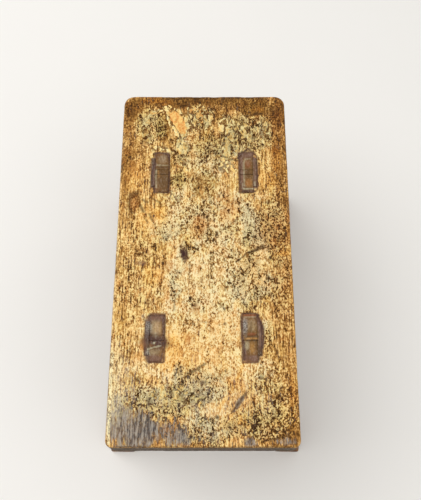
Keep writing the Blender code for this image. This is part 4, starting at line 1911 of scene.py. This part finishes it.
def lower_marks() -> tuple[Mark, ...]:
    """The marks on the seat between its middle and its near tenons.

    Returns:
        The marks.
    """
    pale, amber, stain, grime, flake = Layer.PALE, Layer.AMBER, Layer.STAIN, Layer.GRIME, Layer.FLAKE
    chalk_and_highlight, rust, cut, tar, plum = Layer.CHALK_AND_HIGHLIGHT, Layer.RUST, Layer.CUT, Layer.TAR, Layer.PLUM
    worn_middle = (
        Patch(flake, 48, -28, 26, 40, 0.65),
        Patch(pale, 52, -8, 20, 50, 0.9),
        Patch(stain, 18, -14, 18, 36, 0.12),
        Patch(stain, 17, -14, 16, 32, 0.12),
        Patch(pale, 50, -28, 14, 16, 0.3),
        Patch(amber, 50, -8, 18, 48, 0.15),
        Patch(flake, -30, -36, 10, 20, 0.6),
        Patch(flake, -5, -56, 12, 13, 0.4),
        Patch(flake, 20, -58, 10, 8, 0.5),
        Patch(flake, 10, -60, 60, 62, 0.12),
        Patch(flake, 66, -84, 6, 26, 0.4),
        Patch(pale, 10, -30, 60, 46, 0.9),
        Patch(pale, -36, -38, 18, 42, 0.4),
        Patch(pale, 14, -92, 40, 44, 1.0),
        Patch(pale, 64, -78, 5, 9, 0.7),
        Patch(pale, 50, -22, 26, 40, 1.0),
        Patch(amber, 50, -18, 22, 36, 0.25),
        Patch(pale, -34, -96, 44, 50, 0.6),
        Patch(chalk_and_highlight, -25, -22, 10, 26, 0.3),
        Patch(chalk_and_highlight, 8, -24, 12, 16, 0.15),
        Patch(amber, 16, -92, 30, 38, 0.2),
        Patch(grime, -16, -52, 5, 5, 0.5),
        Patch(grime, -32, -32, 6, 14, 0.4),
        Patch(grime, -2, -58, 6, 9, 0.4),
        Patch(grime, 48, -60, 12, 6, 0.45),
        Patch(rust, -8, -62, 6, 9, 0.7),
        Patch(rust, -16, -95, 6, 9, 0.8),
        Patch(tar, -21, -1, 5, 11, 1.0, 6, 0.3),
        Patch(tar, -9, -58, 3, 2.5, 0.6),
        Patch(cut, -11, -78, 2.2, 2.6, 0.7),
        Patch(cut, 22, -78, 2, 2.4, 0.7),
        Stroke(cut, ((0, -60), (0.5, -66)), 1.2, 0.7),
        Stroke(cut, ((-3, -76), (6, -76.5)), 1.2, 0.5),
        Stroke(cut, ((-15, -10), (-15.5, -24)), 1.4, 0.6),
        Stroke(cut, ((17, -57), (22, -62)), 1.4, 0.7),
        Stroke(cut, ((35, -9), (42, -4), (48, 2)), 1.8, 0.8),
        Stroke(cut, ((49, 1), (56, 4), (64, 8)), 3.0, 0.95),
        Stroke(cut, ((-30, -54), (-31, -64)), 1.4, 0.5),
        Stroke(cut, ((22, -28), (23, -42)), 1.2, 0.5),
    )
    sides = (
        Patch(amber, -55, -26, 14, 16, 0.4),
        Patch(amber, -31, -104, 12, 18, 0.3),
        Patch(amber, -22, -106, 28, 40, 0.35),
        Patch(rust, -38, -14, 7, 8, 0.6),
        Patch(flake, -66, -40, 24, 50, 0.12),
        Patch(stain, 82, -44, 14, 60, 0.22),
        Patch(rust, 82, -40, 14, 60, 0.3),
        Patch(plum, -67, -11, 7, 4, 0.6),
        Patch(rust, -62, -102, 4, 7, 1.0),
        Patch(grime, 74, -30, 10, 30, 0.25),
        Patch(grime, -86, -52, 3, 7, 0.5),
        Patch(grime, -80, -10, 14, 14, 0.25),
        Patch(stain, -80, 0, 14, 24, 0.25),
        Patch(tar, -59, -55, 5, 4, 0.4),
        Patch(cut, 72, -5, 2.4, 2.4, 1.0, 0, 0.1),
    )
    return worn_middle + sides


def near_marks() -> tuple[Mark, ...]:
    """The marks on the near end of the seat, this side of its tenons.

    Returns:
        The marks.
    """
    pale, amber, stain, grime, flake = Layer.PALE, Layer.AMBER, Layer.STAIN, Layer.GRIME, Layer.FLAKE
    chalk_and_highlight, grey, tar, cut, cream = Layer.CHALK_AND_HIGHLIGHT, Layer.GREY, Layer.TAR, Layer.CUT, Layer.CREAM
    speckled = (
        Patch(pale, -36, -122, 44, 18, 1.0),
        Patch(pale, 56, -124, 22, 16, 0.6),
        Patch(amber, -34, -122, 14, 8, 0.3),
        Patch(flake, -32, -158, 46, 20, 1.0),
        Patch(flake, -26, -130, 7, 16, 0.6),
        Patch(flake, 0, -140, 34, 22, 0.55),
        Patch(pale, -8, -134, 26, 30, 0.6),
        Patch(stain, 62, -188, 36, 14, 0.32),
        Patch(pale, 14, -180, 22, 20, 0.25),
        Patch(flake, 68, -150, 26, 34, 0.28),
        Patch(flake, 6, -186, 34, 16, 0.75),
        Patch(pale, 10, -128, 46, 20, 0.7),
        Patch(amber, 8, -132, 40, 20, 0.25),
        Patch(grey, -10, -162, 110, 50, 0.22),
        Patch(pale, -50, -150, 24, 14, 0.7),
        Patch(pale, 8, -156, 40, 26, 0.6),
        Patch(pale, 56, -155, 8, 20, 0.4),
        Patch(cream, -38, -148, 26, 9, 0.24),
        Patch(cream, -10, -158, 18, 9, 0.24),
        Patch(grime, -60, -160, 13, 12, 0.42),
        Patch(grime, -35, -164, 18, 14, 0.38),
        Patch(grime, -8, -154, 18, 12, 0.34),
        Patch(grime, -26, -130, 4, 12, 0.42),
        Patch(grime, 70, -166, 8, 16, 0.25),
        Patch(grime, -2, -185, 12, 9, 0.56),
        Patch(cut, -66, -136, 2.4, 3.6, 0.8),
        Patch(tar, 0, -139, 4.6, 3.8, 0.8),
        Patch(cut, 58, -134, 3.4, 2.8, 0.6),
        Patch(cut, 14, -173, 3.2, 2.8, 0.9),
        Patch(cut, 7, -175, 2.6, 1.6, 0.8),
        Patch(grey, 35, -160, 3.4, 10, 0.75, -32),
        Patch(tar, -53, -159, 3.6, 6, 0.6),
        Stroke(cut, ((-17, -130), (-9, -127), (2, -120)), 2.2, 0.7),
        Stroke(cut, ((28, -169), (34, -161), (42, -150)), 1.8, 0.75),
        Stroke(chalk_and_highlight, ((-27, -122), (-28, -140)), 2.0, 0.6),
        Stroke(amber, ((16, -164), (28, -148), (42, -118)), 3.4, 0.5),
        Stroke(pale, ((10, -150), (24, -134), (36, -116)), 3.0, 0.5),
    )
    weathered_end_and_painted_light = (
        Patch(grey, -72, -187, 30, 23, 0.85, 0, 0.8),
        Patch(stain, -72, -190, 24, 16, 0.4),
        # Painted highlight over the near-left edge, where the light from the left catches it.
        Patch(chalk_and_highlight, -87, -140, 9, 52, 0.5),
        Patch(grey, -88, -172, 8, 26, 0.5),
        Patch(grey, -80, -140, 16, 44, 0.2),
        Patch(grey, -40, -190, 28, 15, 0.42, 0, 0.8),
        Patch(grey, -20, -193, 16, 9, 0.35),
        Patch(grey, 46, -197, 9, 5, 0.75),
        Patch(grey, 82, -196, 14, 5, 0.5),
        Patch(stain, 66, -186, 38, 18, 0.82),
        Patch(stain, 84, -188, 14, 14, 0.52),
        Patch(stain, -26, -192, 56, 14, 0.46),
        Patch(stain, -40, -180, 44, 16, 0.3),
        Patch(flake, 56, -178, 40, 20, 0.5),
        Patch(stain, 84, -150, 14, 56, 0.4),
        Patch(grime, 52, -184, 9, 10, 0.52),
        Patch(grime, 74, -187, 14, 6, 0.45),
        Patch(grime, -66, -184, 22, 14, 0.45),
        Patch(grime, -34, -184, 24, 14, 0.42),
        Patch(grime, -12, -196, 18, 6, 0.34),
        Patch(amber, 30, -178, 20, 11, 0.55),
        Patch(pale, 10, -178, 40, 16, 0.7),
        Patch(amber, 71, -178, 7, 6, 0.5),
        Patch(amber, -32, -174, 5, 5, 0.7),
        Patch(amber, 89, -150, 4, 40, 0.4),
        # Painted highlight along the left arris towards the near end.
        Stroke(chalk_and_highlight, ((-92.8, -110), (-93, -160), (-92, -198)), 3.0, 1.0),
        # Painted shadow line on the left side face, which is turned from the light.
        Stroke(cut, ((-95, -110), (-95, -196)), 0.8, 0.8),
        # Fainter painted highlight along the rest of the left arris.
        Stroke(chalk_and_highlight, ((-93.6, 150), (-94, 40), (-94, -110)), 1.6, 0.35),
        Stroke(cut, ((58, -196), (70, -193), (85, -190)), 1.6, 0.8),
        # Painted shade along the near end's arris and the top of its end face, which is turned from the
        # light.
        Stroke(cut, ((-84, -201.4), (0, -201.8), (88, -201.4)), 1.3, 0.85),
    )
    return speckled + weathered_end_and_painted_light


def joint_marks() -> tuple[Mark, ...]:
    """The marks on the four tenon ends and on the wood round them.

    Returns:
        The marks.
    """
    amber, rust, grey, olive, plum = Layer.AMBER, Layer.RUST, Layer.GREY, Layer.OLIVE, Layer.PLUM
    chalk_and_highlight, tar, cut = Layer.CHALK_AND_HIGHLIGHT, Layer.TAR, Layer.CUT
    far_left = (
        Patch(olive, -47, 99, 13, 36, 1.0),
        Patch(cut, -46, 91, 9, 18, 0.5),
        Patch(chalk_and_highlight, -47.5, 116, 6, 7, 0.2),
        Patch(rust, -47, 115, 5, 6, 0.3),
        Stroke(chalk_and_highlight, ((-54.4, 103), (-54.6, 92), (-53.6, 80)), 1.6, 0.4),
        Stroke(plum, ((-56, 110), (-57.6, 96), (-56.4, 82)), 2.6, 0.9),
        Stroke(tar, ((-56.6, 124), (-57, 110), (-59.2, 96), (-58, 84), (-56, 77)), 1.8, 0.9),
        Stroke(tar, ((-57, 124.6), (-49, 124.8), (-41.5, 122.5), (-40, 116)), 2.0, 0.9),
        Stroke(cut, ((-40, 116), (-39.4, 100), (-39.6, 84), (-41, 76)), 2.0, 0.8),
        Stroke(chalk_and_highlight, ((-53.4, 108.6), (-42, 108.2)), 1.2, 0.4),
        Stroke(cut, ((-53, 105.8), (-41, 105.6)), 1.4, 0.7),
        Stroke(amber, ((-52, 101), (-51, 93)), 1.4, 0.5),
    )
    far_right = (
        Patch(olive, 50.5, 99, 12, 36, 1.0),
        Patch(plum, 50.4, 122.5, 10, 7, 0.9, 0, 0.3),
        Stroke(plum, ((42.6, 118), (42.6, 98), (43.6, 80)), 3.0, 0.8),
        Stroke(plum, ((57.6, 118), (57.8, 98), (57.4, 80)), 3.0, 0.8),
        Stroke(chalk_and_highlight, ((45.4, 82), (45.2, 112), (47, 116.6), (53, 117)), 1.4, 0.35),
        Stroke(tar, ((38.4, 118), (44, 124.5), (50.4, 131), (55.5, 127), (60, 120.5)), 1.6, 0.9),
        Patch(tar, 39.6, 118.6, 2.4, 2.2, 1.0),
        Stroke(tar, ((60.6, 120), (60.6, 96), (59.6, 77)), 1.5, 0.8),
        Stroke(tar, ((40.4, 116), (40.6, 96), (41.8, 78)), 1.5, 0.7),
        Patch(rust, 50.2, 110, 4.4, 6.5, 1.0),
        Patch(chalk_and_highlight, 50.2, 111, 3, 4, 0.15),
        Patch(cut, 50, 97, 4.5, 9, 0.5),
        Patch(amber, 50, 86, 4.4, 7, 0.5),
        Patch(rust, 50, 86, 4.4, 7, 0.5),
        Patch(rust, 43, 93, 1.6, 3, 0.8),
        Stroke(chalk_and_highlight, ((45, 78.3), (57, 78.5)), 1.3, 0.65),
        Stroke(tar, ((43, 75.6), (58, 75.6)), 1.8, 0.9),
        Stroke(chalk_and_highlight, ((57.4, 87), (57.4, 82)), 1.0, 0.5),
        Stroke(chalk_and_highlight, ((43.4, 85), (44, 79)), 1.0, 0.4),
    )
    near_left = (
        Patch(olive, -49, -93, 13, 30, 0.6),
        Patch(chalk_and_highlight, -49.4, -83, 7, 10.5, 0.3, 0, 0.3),
        Patch(amber, -48, -84, 5, 9, 0.4),
        Stroke(rust, ((-47.6, -77), (-47.4, -89)), 1.6, 0.5),
        Stroke(rust, ((-51, -78), (-51.4, -90)), 1.2, 0.4),
        Patch(grey, -57, -83, 4.0, 12, 1.0),
        Stroke(plum, ((-56.5, -72.2), (-42, -72.2)), 4.2, 0.9),
        Stroke(tar, ((-57, -69.6), (-42, -69.6)), 1.8, 0.9),
        Stroke(tar, ((-55.2, -74), (-55.4, -91)), 1.2, 0.5),
        Stroke(tar, ((-41.6, -72), (-41.2, -92)), 1.8, 0.9),
        Stroke(tar, ((-54, -95), (-48, -97), (-43, -98)), 11.0, 1.0),
        Patch(rust, -61.8, -98.5, 2.8, 5.5, 1.0),
        Stroke(chalk_and_highlight, ((-56.4, -105), (-50, -103), (-44, -101.6)), 1.2, 0.6),
        Patch(chalk_and_highlight, -50.4, -108, 8, 4, 0.22),
        Patch(plum, -50, -114.5, 10, 4.5, 0.8, 0, 0.3),
        Patch(grey, -57, -110, 2.6, 6, 0.8),
        Stroke(tar, ((-59.5, -104), (-57, -117.6), (-43, -117.8), (-41, -105)), 1.5, 0.7),
        # Painted glint: a small bright highlight on the dark wedge band.
        Patch(chalk_and_highlight, -50.4, -98.6, 1.3, 1.3, 1.0, 0, 0.1),
    )
    near_right = (
        Patch(olive, 49, -93, 13, 30, 1.0),
        Patch(grey, 43, -81, 3.6, 11, 1.0),
        Patch(chalk_and_highlight, 50, -80, 5.5, 7.5, 0.22),
        Patch(amber, 50, -80, 5, 7, 0.2),
        Stroke(cut, ((49.2, -77), (49, -86)), 2.0, 0.6),
        Patch(rust, 48, -69.2, 10, 2.6, 1.0),
        Stroke(tar, ((40, -67.2), (54, -67)), 1.4, 0.9),
        Stroke(chalk_and_highlight, ((42, -71.4), (54, -71)), 1.0, 0.4),
        Stroke(plum, ((57, -73), (59, -89), (58, -104)), 3.0, 0.9),
        Stroke(tar, ((56.4, -69), (60.4, -80), (61.8, -92), (60.4, -103)), 2.6, 1.0),
        Patch(rust, 50, -89.6, 6, 2.2, 1.0),
        Stroke(cut, ((44, -92.2), (50, -91.6), (56, -92.2)), 1.2, 0.8),
        Stroke(amber, ((45, -94), (55, -93.8)), 1.2, 0.5),
        Stroke(cut, ((45, -96), (56, -96)), 1.2, 0.6),
        Patch(chalk_and_highlight, 44.6, -101.5, 2.6, 6, 0.4),
        Patch(amber, 50.2, -104, 4, 9, 0.35),
        Patch(plum, 51, -114.6, 8, 4.4, 0.9),
        Stroke(plum, ((42.6, -106), (43, -117)), 2.6, 0.8),
        Stroke(tar, ((39.4, -70), (39.6, -91), (41.6, -99), (41.4, -116)), 1.7, 1.0),
        Stroke(cut, ((57.6, -103), (56.8, -116)), 1.6, 0.7),
    )
    return far_left + far_right + near_left + near_right


@dataclass
class LegSet:
    """The four legs, with the wedge and the slip that hold each in the seat.

    Attributes:
        solids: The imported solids.
        sheet: The marks on their ends.
        leg_voxel: How fine the legs are.
        small_voxel: How fine the wedges and slips are.
        leg_wear: How worn the legs are.
        small_wear: How worn the wedges and slips are.
        seed: Which noise wears the first leg.
        seed_step: How far apart the seeds of two pieces are.
    """

    solids: Solids
    sheet: MarkSheet
    leg_voxel: float = 1.1 * MM
    small_voxel: float = 0.75 * MM
    leg_wear: Weathering = Weathering()
    small_wear: Weathering = SMALL_WEAR
    seed: int = 1
    seed_step: int = 7

    def build(self) -> None:
        """Makes the pieces and puts them in the scene."""
        leg_wood = AgedTimber(
            "aged_leg_wood", srgb(146, 100, 56), srgb(84, 52, 28), srgb(196, 150, 96), srgb(46, 30, 20)
        ).material()
        wedge_wood = AgedTimber(
            "wedge_wood", srgb(128, 84, 50), srgb(78, 48, 32), srgb(150, 104, 66), srgb(48, 32, 28)
        ).material()
        slip_wood = AgedTimber(
            "slip_wood", srgb(132, 108, 84), srgb(88, 68, 54), srgb(150, 124, 98), srgb(54, 40, 36)
        ).material()
        kinds = (
            ("leg", leg_wood, self.leg_voxel, self.leg_wear),
            ("wedge", wedge_wood, self.small_voxel, self.small_wear),
            ("slip", slip_wood, self.small_voxel, self.small_wear),
        )
        seed = self.seed
        for corner in ("front_left", "front_right", "back_left", "back_right"):
            for kind, wood, voxel, wear in kinds:
                name = f"{kind}_{corner}"
                slot = f"{kind}_wood"
                piece = WornPiece(self.solids, name, slot, wood, Grain.UP, voxel, wear, seed, self.sheet)
                piece.build()
                seed += self.seed_step


@dataclass
class RailSet:
    """The end rails and side rails, with the pegs that hold them in the legs.

    Attributes:
        solids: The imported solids.
        rail_voxel: How fine the rails are.
        peg_voxel: How fine the pegs are.
        rail_wear: How worn the rails are.
        peg_wear: How worn the pegs are.
        seed: Which noise wears the first rail.
        seed_step: How far apart the seeds of two pieces are.
    """

    solids: Solids
    rail_voxel: float = 1.4 * MM
    peg_voxel: float = 0.7 * MM
    rail_wear: Weathering = Weathering(0.5 * MM, 0.12 * MM, 0.5 * MM, 0.9 * MM)
    peg_wear: Weathering = SMALL_WEAR
    seed: int = 200
    seed_step: int = 20

    def build(self) -> None:
        """Makes the pieces and puts them in the scene."""
        rail_wood = AgedTimber(
            "aged_rail_wood", srgb(150, 106, 62), srgb(92, 60, 34), srgb(198, 154, 102), srgb(48, 32, 22)
        ).material()
        peg_wood = AgedTimber(
            "peg_wood", srgb(160, 116, 70), srgb(110, 74, 42), srgb(190, 146, 96), srgb(50, 34, 24)
        ).material()
        rail = ("rail_wood", rail_wood, self.rail_voxel, self.rail_wear)
        peg = ("peg_wood", peg_wood, self.peg_voxel, self.peg_wear)
        kinds = (
            ("end_rail_", Grain.ACROSS, rail),
            ("side_rail_", Grain.ALONG, rail),
            ("end_peg_", Grain.ALONG, peg),
            ("side_peg_", Grain.ACROSS, peg),
        )
        seed = self.seed
        for prefix, grain, (slot, wood, voxel, wear) in kinds:
            for name in sorted(node for node in self.solids.nodes if node.startswith(prefix)):
                WornPiece(self.solids, name, slot, wood, grain, voxel, wear, seed).build()
                seed += self.seed_step


def main() -> None:
    """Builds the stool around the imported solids, then the studio round it."""
    logging.basicConfig(level=logging.INFO, format="%(name)s: %(message)s")
    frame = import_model()
    solids = Solids(frame["nodes"])
    marks = far_marks() + middle_marks() + lower_marks() + near_marks() + joint_marks()
    sheet = MarkSheet(marks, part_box("seat")[1][2])
    SeatPlank(solids, sheet).build()
    LegSet(solids, sheet).build()
    RailSet(solids).build()
    Studio().build()


if __name__ == "__main__":
    main()
